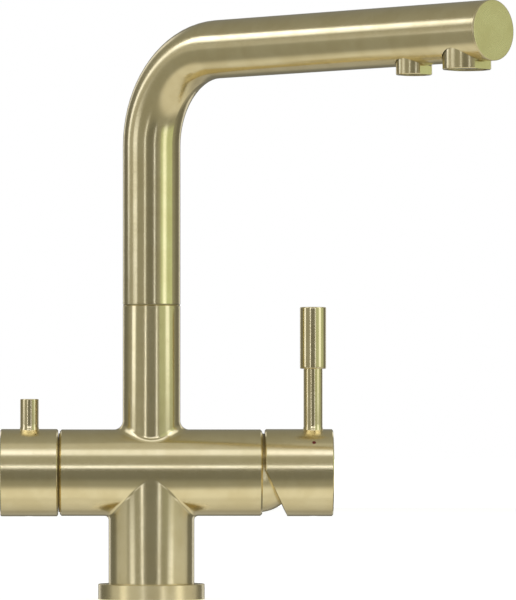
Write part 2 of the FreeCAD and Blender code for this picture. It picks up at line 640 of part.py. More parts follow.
def fixed_ceramic_disc():
    body = new_body("fixed_ceramic_disc")
    radius = f"({CAVITY} - dim.cartridge_gap)"
    turned(body, "disc", [(BASE_TOP, "0"), (FIXED_TOP, "0"), (FIXED_TOP, radius),
                          (BASE_TOP, radius)])
    holes = circles(body, "disc_port_sketch", "YZ_Plane", ports(half("port_diameter")), FIXED_TOP)
    extruded(body, "disc_ports", holes, "dim.disc_thickness", "Pocket")
    on_cross_tube(body)


def moving_ceramic_disc():
    body = new_body("moving_ceramic_disc")
    radius = f"({CAVITY} - dim.moving_disc_room)"
    turned(body, "moving_disc", [(MOVING_LOW, "0"), (CARRIER_LOW, "0"), (CARRIER_LOW, radius),
                                 (MOVING_LOW, radius)])
    bored(body, "mixing_hollow", f"{MOVING_LOW} - dim.past", f"{MOVING_LOW} + dim.disc_thickness / 2",
          half("mixing_hollow"))
    on_cross_tube(body, lift=f"(-{DISC_OFFSET})")


def disc_carrier():
    body = new_body("disc_carrier")
    turned(body, "carrier_plate", [(CARRIER_LOW, "0"), (CARRIER_TOP, "0"), (CARRIER_TOP, CARRIER),
                                   (CARRIER_LOW, CARRIER)])
    far = f"(2 * {CARRIER})"
    for name, side in (("left", "-"), ("right", "")):
        inner = side + KEY
        outer = side + far
        slab = [(inner, "-" + far), (outer, "-" + far), (outer, far), (inner, far)]
        sketch = outline(body, name + "_key_sketch", "YZ_Plane", slab, CARRIER_TOP)
        extruded(body, name + "_key_cut", sketch, "dim.carrier_height - dim.carrier_plate",
                 "Pocket")
    drilled(body, "ball_hole", half("ball_hole"), "dim.carrier_height + dim.past",
            CARRIER_LOW, "0", DISC_OFFSET, (1, 0, 0))
    drilled(body, "ball_mouth", half("ball_flare"), "dim.ball_flare_depth + dim.past",
            f"{CARRIER_TOP} - dim.ball_flare_depth", "0", DISC_OFFSET, (1, 0, 0))
    on_cross_tube(body, lift=f"(-{DISC_OFFSET})")


def cartridge_turret():
    body = new_body("cartridge_turret")
    flange = f"({CAVITY} - dim.slide_gap)"
    barrel = f"{TURRET_BORE} - dim.fit_gap"
    turned(body, "turret", [
        (TURRET_LOW, "0"), (TURRET_END, "0"), (TURRET_END, barrel), (TURRET_STEP, barrel),
        (TURRET_STEP, flange), (TURRET_LOW, flange)])
    rail_inner = f"({KEY} + dim.slide_gap)"
    depth = f"{TURRET_LOW} - ({CARRIER_STEP} + dim.slide_gap)"
    for name, side in (("left", "-"), ("right", "")):
        inner = f"{side}{rail_inner}"
        outer = f"{side}({rail_inner} + dim.rail_width)"
        rail = [(inner, "-dim.rail_length / 2"), (outer, "-dim.rail_length / 2"),
                (outer, "dim.rail_length / 2"), (inner, "dim.rail_length / 2")]
        sketch = outline(body, name + "_rail_sketch", "YZ_Plane", rail, TURRET_LOW)
        extruded(body, name + "_rail", sketch, depth, backwards=True)
    slot = [("-" + SLOT, "-" + SLOT_DOWN), (SLOT, "-" + SLOT_DOWN), (SLOT, SLOT_UP),
            ("-" + SLOT, SLOT_UP)]
    slot_sketch = outline(body, "slot_sketch", "YZ_Plane", slot, f"{TURRET_END} + dim.past")
    extruded(body, "lever_slot", slot_sketch, f"{TURRET_END} - {TURRET_LOW} + 2 * dim.past", "Pocket")
    drilled(body, "pin_hole", half("pin_diameter"), f"2 * {TURRET_BORE}", PIVOT,
            "-" + TURRET_BORE, direction=(0, 1, 0))
    on_cross_tube(body)


def lever_pivot_pin():
    reach = f"({TURRET_BORE} - dim.fit_gap - dim.slide_gap / 2)"
    pin = cylinder("lever_pivot_pin", half("pin_diameter"), f"2 * {reach}", PIVOT, "-" + reach,
                   "dim.axis_height", (0, 1, 0))
    keep(pin, "lever_pivot_pin")


def cartridge_lever():
    body = new_body("cartridge_lever")
    neck = half("lever_neck")
    shaft = half("lever_diameter")
    turned(body, "lever_shaft", [
        (BALL, "0"), (LEVER_END, "0"), (LEVER_END, shaft),
        (f"{CARRIER_TOP} + dim.lever_taper", shaft), (CARRIER_TOP, neck), (BALL, neck)])
    ball = body.newObject("PartDesign::AdditiveSphere", "ball")
    ball.setExpression("Radius", half("ball_diameter"))
    place(ball, BALL)
    drilled(body, "lever_pin_hole", f"{half('pin_diameter')} + dim.fit_gap",
            f"2 * {TURRET_BORE}", PIVOT, "-" + TURRET_BORE, direction=(0, 1, 0))
    on_cross_tube(body)


def cartridge_nut():
    body = new_body("cartridge_nut")
    bore = f"({HOUSING_NECK} + dim.slide_gap)"
    face = f"({RIGHT_END} - dim.nut_inset)"
    wide = f"({NUT_RADIUS} - dim.nut_wall)"
    floor = f"({RIGHT_END} - dim.skirt_depth - dim.slide_gap)"
    turned(body, "nut_ring", [
        (NUT_SEAT, bore), (floor, bore), (floor, wide), (face, wide), (face, NUT_RADIUS),
        (NUT_SEAT, NUT_RADIUS)])
    notch = half("nut_notch")
    first = [("-" + notch, SKIRT), (notch, SKIRT), (notch, NUT_RADIUS), ("-" + notch, NUT_RADIUS)]
    sketch = outline(body, "notch_sketch", "YZ_Plane", first, face)
    cut = extruded(body, "notch", sketch, "dim.skirt_depth / 2", "Pocket")
    around(body, cut, sketch, 4)
    on_cross_tube(body)


def dome_cover():
    body = new_body("dome_cover")
    ball = body.newObject("PartDesign::AdditiveSphere", "dome")
    ball.setExpression("Radius", "dim.dome_radius")
    place(ball, PIVOT)
    beyond = "dim.dome_radius + dim.past"
    bored(body, "dome_base", f"{PIVOT} - ({beyond})", RIGHT_END, beyond)
    hollow = body.newObject("PartDesign::SubtractiveSphere", "dome_hollow")
    hollow.setExpression("Radius", "dim.dome_radius - dim.dome_wall")
    place(hollow, PIVOT)
    bored(body, "opening", PIVOT, f"{PIVOT} + {beyond}", half("dome_opening"))
    inner = f"({SKIRT} - dim.skirt_wall)"
    web = "dim.dome_radius - dim.dome_wall / 2"
    web_top = f"{RIGHT_END} + dim.skirt_wall"
    turned(body, "skirt", [
        (f"{RIGHT_END} - dim.skirt_depth", inner), (web_top, inner), (web_top, web),
        (RIGHT_END, web), (RIGHT_END, SKIRT), (f"{RIGHT_END} - dim.skirt_depth", SKIRT)])
    on_cross_tube(body)


# Mixer handle and its lever

def handle_blank(body, low, high, radius):
    chamfer = "dim.handle_chamfer"
    turned(body, "handle_blank", [
        (low, "0"), (high, "0"), (high, f"{radius} - {chamfer}"), (f"{high} - {chamfer}", radius),
        (f"{low} + {chamfer}", radius), (low, f"{radius} - {chamfer}")])


def lever_seat(body, x, radius, stem):
    # The spot face and thread that a lever stands in, and the grub screw's hole opposite.
    drilled(body, "spot_face", f"{stem} + dim.foot_flare", "dim.foot_seat + dim.past", x, "0",
            f"{radius} - dim.foot_seat")
    drilled(body, "lever_thread", half("thread_diameter"), "dim.thread_length + dim.past", x, "0",
            f"{radius} - dim.foot_seat - dim.thread_length")
    drilled(body, "screw_hole", half("screw_diameter"), radius, x, direction=(0, 0, -1))


def mixer_handle():
    body = new_body("mixer_handle")
    radius = half("mixer_diameter")
    handle_blank(body, MIXER_LOW, MIXER_END, radius)
    hollow = body.newObject("PartDesign::SubtractiveSphere", "dome_room")
    hollow.setExpression("Radius", "dim.dome_radius + dim.dome_gap")
    place(hollow, PIVOT)
    heel_low = "-dim.mixer_diameter"
    heel_out = f"{MIXER_LOW} + (dim.heel_start - {heel_low}) * tan(dim.heel_angle)"
    heel = [(MIXER_LOW, "dim.heel_start"), (heel_out, heel_low), (f"{MIXER_LOW} - dim.past", heel_low),
            (f"{MIXER_LOW} - dim.past", "dim.heel_start")]
    sketch = outline(body, "heel_sketch", "XZ_Plane", heel)
    extruded(body, "heel_cut", sketch, "dim.mixer_diameter + 2 * dim.past", "Pocket", both_ways=True)
    bored(body, "lever_socket", PIVOT, LEVER_END, f"{half('lever_diameter')} + dim.fit_gap")
    lever_seat(body, STEM, radius, half("stem_diameter"))
    dot = drilled(body, "dot_hole", half("dot_diameter"), "dim.dot_depth + dim.past")
    set_by_dot(dot, "dim.dot_depth")
    on_cross_tube(body)


def set_by_dot(item, depth, lift="0"):
    # On the handle's skin at the dot's angle, pointing outwards.
    out = f"({half('mixer_diameter')} - {depth})"
    return place(item, STEM, f"-{out} * cos(dim.dot_angle)",
                 f"{lift} + {out} * sin(dim.dot_angle)", direction=(1, 0, 0),
                 turn="90 - dim.dot_angle")


def temperature_dot():
    dot = doc.addObject("Part::Cylinder", "temperature_dot")
    dot.setExpression("Radius", half("dot_diameter"))
    dot.setExpression("Height", "dim.dot_depth")
    set_by_dot(dot, "dim.dot_depth", "dim.axis_height")
    keep(dot, "temperature_dot")


def grub_screw(label, x, gap_radius):
    # Points up at the shaft that it clamps; the hexagon socket opens downwards.
    end = f"({gap_radius} + dim.fit_gap)"
    shank = cylinder(label + "_shank", half("screw_diameter"), "dim.screw_length", x, "0",
                     f"dim.axis_height - {end}", (0, 0, -1))
    key = doc.addObject("Part::Prism", label + "_key")
    key.Polygon = 6
    key.setExpression("Circumradius", "dim.screw_socket / sqrt(3)")
    key.setExpression("Height", "dim.socket_depth + dim.past")
    place(key, x, "0", f"dim.axis_height - {end} - dim.screw_length - dim.past")
    screw = doc.addObject("Part::Cut", label)
    screw.Base = shank
    screw.Tool = key
    keep(screw, label)


def foot_profile(radius, seat, top):
    # Threaded tail, flared foot and plain shank up to the top.
    tail = half("thread_diameter")
    flare = f"{radius} + dim.foot_flare"
    tail_end = f"({seat} - dim.thread_length)"
    shank = f"({seat} + dim.foot_seat + dim.foot_height)"
    return [(tail_end, "0"), (top, "0"), (top, radius), (shank, radius), (seat, flare),
            (seat, tail), (tail_end, tail)]


def lever_stem():
    body = new_body("lever_stem")
    radius = half("stem_diameter")
    seat = f"({half('mixer_diameter')} - dim.foot_seat)"
    turned(body, "stem", foot_profile(radius, seat, "dim.stem_top"), "V_Axis")
    tail = half("thread_diameter")
    end = "(dim.stem_top + dim.thread_length)"
    turned(body, "grip_thread", [("dim.stem_top - dim.past", "0"), (end, "0"), (end, tail),
                                 ("dim.stem_top - dim.past", tail)], "V_Axis")
    on_cross_tube(body, STEM)


def lever_grip():
    body = new_body("lever_grip")
    radius = half("grip_diameter")
    low = "dim.stem_top"
    high = "(dim.stem_top + dim.grip_length)"
    chamfer = "dim.grip_chamfer"
    turned(body, "grip", [
        (low, "0"), (high, "0"), (high, f"{radius} - {chamfer}"), (f"{high} - {chamfer}", radius),
        (f"{low} + {chamfer}", radius), (low, f"{radius} - {chamfer}")], "V_Axis")
    bored(body, "grip_bore", f"{low} - dim.past", f"{low} + dim.thread_length + dim.slide_gap",
          half("thread_diameter"), "V_Axis")
    on_cross_tube(body, STEM)


# Filtered water valve and its handle

def filter_valve_body():
    body = new_body("filter_valve_body")
    nose = half("valve_nose")
    thread = half("valve_thread")
    neck = half("valve_neck")
    bore = f"{half('spindle_diameter')} + dim.fit_gap"
    chamber = half("chamber_diameter")
    turned(body, "valve", [
        (NOSE_END, nose), (NOSE_ROOT, nose), (NOSE_ROOT, thread), (HEX_SEAT, thread),
        (HEX_SEAT, neck), (NECK_END, neck), (NECK_END, bore), (VALVE_CHAMBER_END, bore),
        (VALVE_CHAMBER_END, chamber), (NOSE_END, chamber)])
    corners = []
    for step in range(6):
        angle = math.radians(60 * step)
        corners.append((f"dim.valve_hex * {math.cos(angle) / math.sqrt(3):.6f}",
                        f"dim.valve_hex * {math.sin(angle) / math.sqrt(3):.6f}"))
    hexagon = outline(body, "hex_sketch", "YZ_Plane", corners, HEX_END)
    sketch_bore = Part.Circle(FreeCAD.Vector(0, 0, 0), FreeCAD.Vector(0, 0, 1),
                              value("dim.valve_neck / 2 - dim.past"))
    ring = hexagon.addGeometry(sketch_bore, False)
    fix_point(hexagon, ring, 3, "0", "0")
    number = hexagon.addConstraint(Sketcher.Constraint("Radius", ring, sketch_bore.Radius))
    hexagon.setExpression(f"Constraints[{number}]", "dim.valve_neck / 2 - dim.past")
    extruded(body, "hex", hexagon, "dim.valve_hex_height")
    drilled(body, "side_windows", half("valve_window"), "dim.valve_nose + 2 * dim.past",
            f"{VALVE_MOVING_END} + {half('valve_window')}", "-dim.valve_nose / 2 - dim.past",
            direction=(0, 1, 0))
    on_cross_tube(body)


def filter_valve_seal():
    body = new_body("filter_valve_seal")
    turned(body, "seat_washer",
           ring_profile(NOSE_END, VALVE_SEAT, half("seal_bore"), half("valve_nose")))
    on_cross_tube(body)


def valve_disc(label, low, high):
    body = new_body(label)
    radius = half("valve_disc")
    turned(body, "valve_disc", [(low, "0"), (high, "0"), (high, radius), (low, radius)])
    holes = [(side + "dim.valve_port_radius", "0", half("valve_port")) for side in ("", "-")]
    sketch = circles(body, "valve_port_sketch", "YZ_Plane", holes, high)
    extruded(body, "valve_ports", sketch, "dim.valve_disc_thickness", "Pocket")
    on_cross_tube(body)


def filter_spindle():
    body = new_body("filter_spindle")
    foot = half("valve_disc")
    foot_end = f"({VALVE_CHAMBER_END} + dim.fit_gap)"
    shank = half("spindle_diameter")
    turned(body, "spindle", [
        (VALVE_MOVING_END, "0"), (VALVE_MOVING_END, foot), (foot_end, foot), (foot_end, shank),
        (SPINDLE_END, shank), (SPINDLE_END, "0")])
    on_cross_tube(body)


def filter_handle():
    body = new_body("filter_handle")
    radius = half("filter_diameter")
    handle_blank(body, FILTER_END, FILTER_LOW, radius)
    hollow = half("filter_hollow")
    boss = half("boss_diameter")
    floor = f"({FILTER_LOW} - dim.filter_hollow_depth)"
    boss_end = f"({FILTER_LOW} - dim.boss_inset)"
    turned(body, "handle_hollow", [
        (floor, boss), (boss_end, boss), (boss_end, "0"), (f"{FILTER_LOW} + dim.past", "0"),
        (f"{FILTER_LOW} + dim.past", hollow), (floor, hollow)], cut=True)
    bored(body, "spindle_socket", SPINDLE_END, FILTER_LOW, half("spindle_diameter"))
    lever_seat(body, PIN, radius, half("lever_pin_diameter"))
    on_cross_tube(body)


def filter_pin_lever():
    body = new_body("filter_pin_lever")
    radius = half("lever_pin_diameter")
    seat = f"({half('filter_diameter')} - dim.foot_seat)"
    profile = foot_profile(radius, seat, "dim.lever_pin_top")
    edge = "dim.lever_pin_chamfer"
    profile[2:3] = [("dim.lever_pin_top", f"{radius} - {edge}"),
                    (f"dim.lever_pin_top - {edge}", radius)]
    turned(body, "pin_lever", profile, "V_Axis")
    on_cross_tube(body, PIN)


# Swivel

def filter_spigot():
    body = new_body("filter_spigot")
    outer = half("spigot_diameter")
    bore = half("spigot_bore")
    collar = half("spigot_collar")
    collar_top = f"{NECK_FLOOR} + dim.spigot_collar_height"
    low = f"{NECK_FLOOR} - dim.spigot_root"
    high = f"{NECK_FLOOR} + dim.spigot_height"
    turned(body, "spigot", [
        (low, bore), (high, bore), (high, outer), (collar_top, outer), (collar_top, collar),
        (NECK_FLOOR, collar), (NECK_FLOOR, outer), (low, outer)], "V_Axis")
    middle = f"({NECK_FLOOR} + dim.spigot_ring_lift)"
    reach = half("spigot_groove_width")
    groove = ring_profile(f"{middle} - {reach}", f"{middle} + {reach}", half("spigot_groove"),
                          f"{outer} + dim.past")
    turned(body, "spigot_ring_groove", groove, "V_Axis", cut=True)
    on_cross_tube(body)


def filter_spigot_oring():
    inner = half("spigot_groove")
    wire = f"(({half('spigot_diameter')} - {inner}) / 2)"
    ring = torus("filter_spigot_oring", f"{inner} + {wire}", wire,
                 f"dim.axis_height + {NECK_FLOOR} + dim.spigot_ring_lift")
    keep(ring, "filter_spigot_oring")


def neck_slide_washer():
    body = new_body("neck_slide_washer")
    inner = f"{half('neck_bore')} + dim.fit_gap"
    outer = f"{half('neck_diameter')} - dim.washer_inset"
    turned(body, "washer_ring", ring_profile("0", "dim.washer_thickness", inner, outer), "V_Axis")
    place(body, z="dim.axis_height + dim.neck_rise")


def spout_retaining_screw():
    bore = half("neck_bore")
    tip_end = f"({bored_in('keeper_groove_depth')} + dim.slide_gap)"
    height = f"dim.axis_height + {KEEPER}"
    head_end = f"({half('neck_diameter')} - dim.slide_gap)"
    tip = cylinder("keeper_tip", half("keeper_tip"), f"{bore} - {tip_end} + dim.keeper_joint", "0", tip_end,
                   height, (0, 1, 0))
    shank = cylinder("keeper_shank", half("screw_diameter"), f"{head_end} - {bore}", "0", bore,
                     height, (0, 1, 0))
    whole = doc.addObject("Part::Fuse", "keeper_blank")
    whole.Base = tip
    whole.Tool = shank
    key = doc.addObject("Part::Prism", "keeper_key")
    key.Polygon = 6
    key.setExpression("Circumradius", "dim.screw_socket / sqrt(3)")
    key.setExpression("Height", "dim.socket_depth + dim.past")
    place(key, "0", f"{head_end} - dim.socket_depth", height, (0, 1, 0))
    screw = doc.addObject("Part::Cut", "spout_retaining_screw")
    screw.Base = whole
    screw.Tool = key
    keep(screw, "spout_retaining_screw")


def spout_sleeve():
    body = new_body("spout_sleeve")
    outer = bored_in("sleeve_gap")
    bore = f"({outer} - dim.sleeve_wall)"
    low = f"({SWIVEL_FLOOR} + dim.sleeve_lift)"
    wide = f"({half('spout_diameter')} - dim.spout_wall - dim.fit_gap)"
    turned(body, "sleeve", [
        (low, bore), ("dim.sleeve_in_spout", bore), ("dim.sleeve_in_spout", wide), ("0", wide),
        ("0", outer), (low, outer)], "V_Axis")
    grooves = [("ring_upper", "ring_groove_width", "ring_groove_depth"),
               ("ring_lower", "ring_groove_width", "ring_groove_depth"),
               ("guide_upper", "guide_height", "guide_groove_depth"),
               ("guide_lower", "guide_height", "guide_groove_depth")]
    for name, width, depth in grooves:
        start = f"-dim.{name} - dim.{width} / 2"
        end = f"-dim.{name} + dim.{width} / 2"
        turned(body, name + "_groove", ring_profile(start, end, bored_in(depth), "dim.neck_bore"),
               "V_Axis", cut=True)
    reach = f"({half('keeper_tip')} + dim.slide_gap)"
    keeper = ring_profile(f"{KEEPER_BELOW} - {reach}", f"{KEEPER_BELOW} + {reach}",
                          bored_in("keeper_groove_depth"), "dim.neck_bore")
    turned(body, "keeper_groove", keeper, "V_Axis", cut=True)
    on_spout(body)


def spout_orings():
    inner = bored_in("ring_groove_depth")
    wire = f"(({bored_in('fit_gap')} - {inner}) / 2)"
    rings = [torus(name + "_oring", f"{inner} + {wire}", wire, f"{SPOUT_BASE} - dim.{name}")
             for name in ("ring_upper", "ring_lower")]
    group("spout_orings", rings)


def spout_guide_rings():
    rings = []
    for name in ("guide_upper", "guide_lower"):
        low = f"{SPOUT_BASE} - dim.{name} - dim.guide_height / 2"
        shell = cylinder(name + "_shell", bored_in("fit_gap"), "dim.guide_height", z=low)
        core = cylinder(name + "_core", f"{bored_in('guide_groove_depth')} + dim.fit_gap",
                        "dim.guide_height", z=low)
        shell.setExpression("Angle", "360 - dim.guide_slit")
        ring = doc.addObject("Part::Cut", name + "_ring")
        ring.Base = shell
        ring.Tool = core
        rings.append(ring)
    group("spout_guide_rings", rings)


# Spout

def bent_tube(body, name, start, end, outer, inner):
    # Up from the start, round the bend and level to the end.
    turn = "(dim.spout_rise - dim.spout_bend)"
    rings = [("0", "0", outer), ("0", "0", inner)]
    profile = circles(body, name + "_rings", "XY_Plane", rings, start)
    path = blank_sketch(body, name + "_path", "XZ_Plane")
    corner = FreeCAD.Vector(0, value(turn), 0)
    centre = FreeCAD.Vector(value("dim.spout_bend"), value(turn), 0)
    level = FreeCAD.Vector(value("dim.spout_bend"), value("dim.spout_rise"), 0)
    path.addGeometry(Part.LineSegment(FreeCAD.Vector(0, value(start), 0), corner), False)
    circle = Part.Circle(centre, FreeCAD.Vector(0, 0, 1), value("dim.spout_bend"))
    path.addGeometry(Part.ArcOfCircle(circle, math.pi / 2, math.pi), False)
    far = FreeCAD.Vector(value(end), value("dim.spout_rise"), 0)
    path.addGeometry(Part.LineSegment(level, far), False)
    path.addConstraint(Sketcher.Constraint("Coincident", 0, 2, 1, 2))
    path.addConstraint(Sketcher.Constraint("Coincident", 1, 1, 2, 1))
    fix_point(path, 0, 1, "0", start)
    fix_point(path, 0, 2, "0", turn)
    fix_point(path, 1, 3, "dim.spout_bend", turn)
    top = Sketcher.Constraint("DistanceX", -1, 1, 1, 1, value("dim.spout_bend"))
    path.setExpression(f"Constraints[{path.addConstraint(top)}]", "dim.spout_bend")
    fix_point(path, 2, 2, end, "dim.spout_rise")
    doc.recompute()
    pipe = body.newObject("PartDesign::AdditivePipe", name)
    pipe.Profile = profile
    pipe.Spine = (path, ["Edge1", "Edge2", "Edge3"])
    return pipe


def spout_tube():
    body = new_body("spout_tube")
    outer = half("spout_diameter")
    bent_tube(body, "spout_pipe", "0", TUBE_END, outer, f"{outer} - dim.spout_wall")
    holes = [(OUTLET_AT[name], "0", f"{half(name + '_diameter')} + dim.outlet_gap")
             for name in ("mixed", "filtered")]
    sketch = circles(body, "outlet_hole_sketch", "XY_Plane", holes)
    extruded(body, "outlet_holes", sketch, "dim.spout_rise", "Pocket", backwards=True)
    on_spout(body)


def filtered_water_tube():
    body = new_body("filtered_water_tube")
    outer = half("inner_tube_diameter")
    start = f"({SWIVEL_FLOOR} + dim.socket_shoulder)"
    bent_tube(body, "inner_pipe", start, f"({BLOCK_START} + dim.inner_tube_socket)", outer,
              f"{outer} - dim.inner_tube_wall")
    on_spout(body)


def filter_tube_socket():
    body = new_body("filter_tube_socket")
    outer = half("socket_diameter")
    running = f"{half('spigot_diameter')} + dim.fit_gap"
    tube = half("inner_tube_diameter")
    waterway = f"{tube} - dim.inner_tube_wall"
    low = f"({SWIVEL_FLOOR} + dim.socket_lift)"
    high = f"({low} + dim.socket_length)"
    shoulder = f"({SWIVEL_FLOOR} + dim.socket_shoulder)"
    turned(body, "socket", [
        (low, running), (f"{shoulder} - dim.past", running), (f"{shoulder} - dim.past", waterway),
        (shoulder, waterway), (shoulder, tube), (high, tube), (high, outer), (low, outer)],
        "V_Axis")
    on_spout(body)


def outlet_block():
    body = new_body("outlet_block")
    radius = f"{half('spout_diameter')} - dim.spout_wall - dim.fit_gap"
    turned(body, "block", [(BLOCK_START, "0"), (TUBE_END, "0"), (TUBE_END, radius),
                           (BLOCK_START, radius)])
    low = half("spout_diameter")
    for name in ("mixed", "filtered"):
        x = OUTLET_AT[name]
        drilled(body, name + "_counterbore", f"{half(name + '_diameter')} + dim.outlet_gap",
                f"{low} - dim.{name}_counterbore", x, "0", f"-{low}")
        drilled(body, name + "_thread", half(name + "_thread"),
                f"{low} - dim.{name}_thread_top", x, "0", f"-{low}")
    chamber = f"(dim.feed_rise - {half('feed_diameter')} + dim.past)"
    drilled(body, "mixed_chamber", half("mixed_way"), f"{low} + {chamber}", OUTLET_AT["mixed"], "0",
            f"-{low}")
    drilled(body, "mixed_feed", half("feed_diameter"),
            f"{OUTLET_AT['mixed']} - {BLOCK_START} + dim.past",
            f"{BLOCK_START} - dim.past", "0", "dim.feed_rise", (1, 0, 0))
    tube = half("inner_tube_diameter")
    waterway = f"{tube} - dim.inner_tube_wall"
    drilled(body, "filtered_chamber", half("filtered_way"), f"{low} + {waterway} + dim.filtered_rise",
            OUTLET_AT["filtered"], "0", f"-{low}")
    drilled(body, "tube_socket", tube, "dim.inner_tube_socket + dim.past", f"{BLOCK_START} - dim.past",
            direction=(1, 0, 0))
    drilled(body, "filtered_feed", waterway, f"{OUTLET_AT['filtered']} - {BLOCK_START}",
            BLOCK_START, direction=(1, 0, 0))
    on_spout(body, ARM_HEIGHT)


def spout_end_cap():
    body = new_body("spout_end_cap")
    radius = half("spout_diameter")
    edge = "dim.cap_chamfer"
    end = "dim.spout_reach"
    turned(body, "cap", [(TUBE_END, "0"), (end, "0"), (end, f"{radius} - {edge}"),
                         (f"{end} - {edge}", radius), (TUBE_END, radius)])
    on_spout(body, ARM_HEIGHT)


# Outlets

def outlet_housing(name, rim):
    body = new_body(name + "_outlet_housing")
    outer = half(name + "_diameter")
    thread = half(name + "_thread")
    bore = half(name + "_bore")
    way = half(name + "_way")
    edge = "dim.outlet_chamfer"
    shoulder = f"-(dim.{name}_counterbore)"
    top = f"-(dim.{name}_thread_top)"
    bore_top = f"({rim} + dim.{name}_bore_depth)"
    turned(body, name + "_housing", [
        (rim, bore), (rim, f"{outer} - {edge}"), (f"{rim} + {edge}", outer), (shoulder, outer),
        (shoulder, thread), (top, thread), (top, way), (bore_top, way), (bore_top, bore)],
        "V_Axis")
    for side_name, side in (("near", "-"), ("far", "")):
        inner = f"{side}{half(name + '_flats')}"
        beyond = f"{side}dim.{name}_diameter"
        wide = f"dim.{name}_diameter"
        slab = [(inner, f"-{wide}"), (beyond, f"-{wide}"), (beyond, wide), (inner, wide)]
        sketch = outline(body, side_name + "_flat_sketch", "XY_Plane", slab, rim)
        extruded(body, side_name + "_flat", sketch, "dim.flat_height", "Pocket", backwards=True)
    on_spout(body, ARM_HEIGHT, OUTLET_AT[name])


def outlet_insert(label, name, rim, hole_rings):
    body = new_body(label)
    radius = f"{half(name + '_bore')} - dim.fit_gap"
    low = f"({rim} + dim.insert_inset)"
    high = f"({rim} + dim.{name}_bore_depth - dim.outlet_washer)"
    turned(body, "insert", [(low, "0"), (high, "0"), (high, radius), (low, radius)], "V_Axis")
    for number, (share, count) in enumerate(hole_rings):
        ring = [(f"{half(name + '_way')} * {share}", "0", half("hole_diameter"))]
        sketch = circles(body, f"water_hole_sketch_{number}", "XY_Plane", ring, high)
        hole = extruded(body, f"water_hole_{number}", sketch, f"{high} - {low}", "Pocket")
        around(body, hole, sketch, count)
    on_spout(body, ARM_HEIGHT, OUTLET_AT[name])


def outlet_washer(name, rim):
    body = new_body(name + "_outlet_washer")
    high = f"({rim} + dim.{name}_bore_depth)"
    ring = ring_profile(f"{high} - dim.outlet_washer", high, half(name + "_way"),
                        f"{half(name + '_bore')} - dim.fit_gap")
    turned(body, "washer", ring, "V_Axis")
    on_spout(body, ARM_HEIGHT, OUTLET_AT[name])


def build():
    body_casting()
    base_flange()
    deck_gasket()
    cartridge_base()
    cartridge_seals()
    cartridge_housing()
    fixed_ceramic_disc()
    moving_ceramic_disc()
    disc_carrier()
    cartridge_turret()
    lever_pivot_pin()
    cartridge_lever()
    cartridge_nut()
    dome_cover()
    mixer_handle()
    temperature_dot()
    grub_screw("mixer_handle_screw", STEM, half("lever_diameter"))
    lever_stem()
    lever_grip()
    filter_valve_body()
    filter_valve_seal()
    valve_disc("filter_fixed_disc", VALVE_FIXED_END, NOSE_END)
    valve_disc("filter_moving_disc", VALVE_MOVING_END, VALVE_MOVING_LOW)
    filter_spindle()
    filter_handle()
    filter_pin_lever()
    grub_screw("filter_handle_screw", PIN, half("spindle_diameter"))
    filter_spigot()
    filter_spigot_oring()
    neck_slide_washer()
    spout_retaining_screw()
    spout_sleeve()
    spout_orings()
    spout_guide_rings()
    spout_tube()
    filtered_water_tube()
    filter_tube_socket()
    outlet_block()
    spout_end_cap()
    outlet_housing("mixed", MIXED_RIM)
    outlet_insert("mixed_outlet_aerator", "mixed", MIXED_RIM, [(0.8, 12), (0.4, 6)])
    outlet_washer("mixed", MIXED_RIM)
    outlet_housing("filtered", FILTERED_RIM)
    outlet_insert("filtered_outlet_insert", "filtered", FILTERED_RIM, [(0.65, 6)])
    outlet_washer("filtered", FILTERED_RIM)


def check():
    faults = [f"{item.Label}: {item.State}" for item in doc.Objects
              if "Invalid" in item.State or "Error" in item.State]
    for item in PARTS:
        if item.Shape.isNull() or not item.Shape.isValid():
            faults.append(f"{item.Label}: shape is null or not valid")
    if faults:
        raise RuntimeError("\n".join(faults))


def export():
    os.makedirs("parts", exist_ok=True)
    for item in PARTS:
        item.Shape.exportStep(f"parts/{item.Label}.step")
        print(f"{item.Label}: {len(item.Shape.Solids)} solid(s), {item.Shape.Volume:.1f} mm3")


build()
doc.recompute()
check()
export()
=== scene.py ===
import bmesh
import bpy
import json
import math
from mathutils import Matrix, Vector

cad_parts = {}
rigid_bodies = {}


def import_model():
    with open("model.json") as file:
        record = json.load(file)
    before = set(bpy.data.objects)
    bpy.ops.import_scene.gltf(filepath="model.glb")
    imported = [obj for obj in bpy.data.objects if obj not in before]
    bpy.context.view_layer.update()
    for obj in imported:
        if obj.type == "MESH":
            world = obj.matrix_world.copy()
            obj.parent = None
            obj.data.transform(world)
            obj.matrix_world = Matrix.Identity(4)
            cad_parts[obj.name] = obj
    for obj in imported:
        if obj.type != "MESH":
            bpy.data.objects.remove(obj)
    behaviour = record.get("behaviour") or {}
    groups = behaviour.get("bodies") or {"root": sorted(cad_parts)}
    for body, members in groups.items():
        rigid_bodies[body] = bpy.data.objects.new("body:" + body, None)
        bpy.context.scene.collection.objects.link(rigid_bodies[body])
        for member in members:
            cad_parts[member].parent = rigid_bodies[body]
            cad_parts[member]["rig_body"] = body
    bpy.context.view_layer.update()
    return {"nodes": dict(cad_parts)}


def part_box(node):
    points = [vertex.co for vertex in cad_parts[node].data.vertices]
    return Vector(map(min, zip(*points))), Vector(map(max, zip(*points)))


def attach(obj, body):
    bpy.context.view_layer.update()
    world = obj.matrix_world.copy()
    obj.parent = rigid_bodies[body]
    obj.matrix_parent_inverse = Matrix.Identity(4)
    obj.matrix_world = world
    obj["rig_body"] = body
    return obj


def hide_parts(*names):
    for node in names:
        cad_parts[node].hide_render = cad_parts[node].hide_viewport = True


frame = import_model()
nodes = frame["nodes"]
print("frame loaded:", len(nodes), "nodes")

mm = 0.001
tubeHeight = 66.0 * mm        # cross tube's axis
tubeRadius = 22.5 * mm


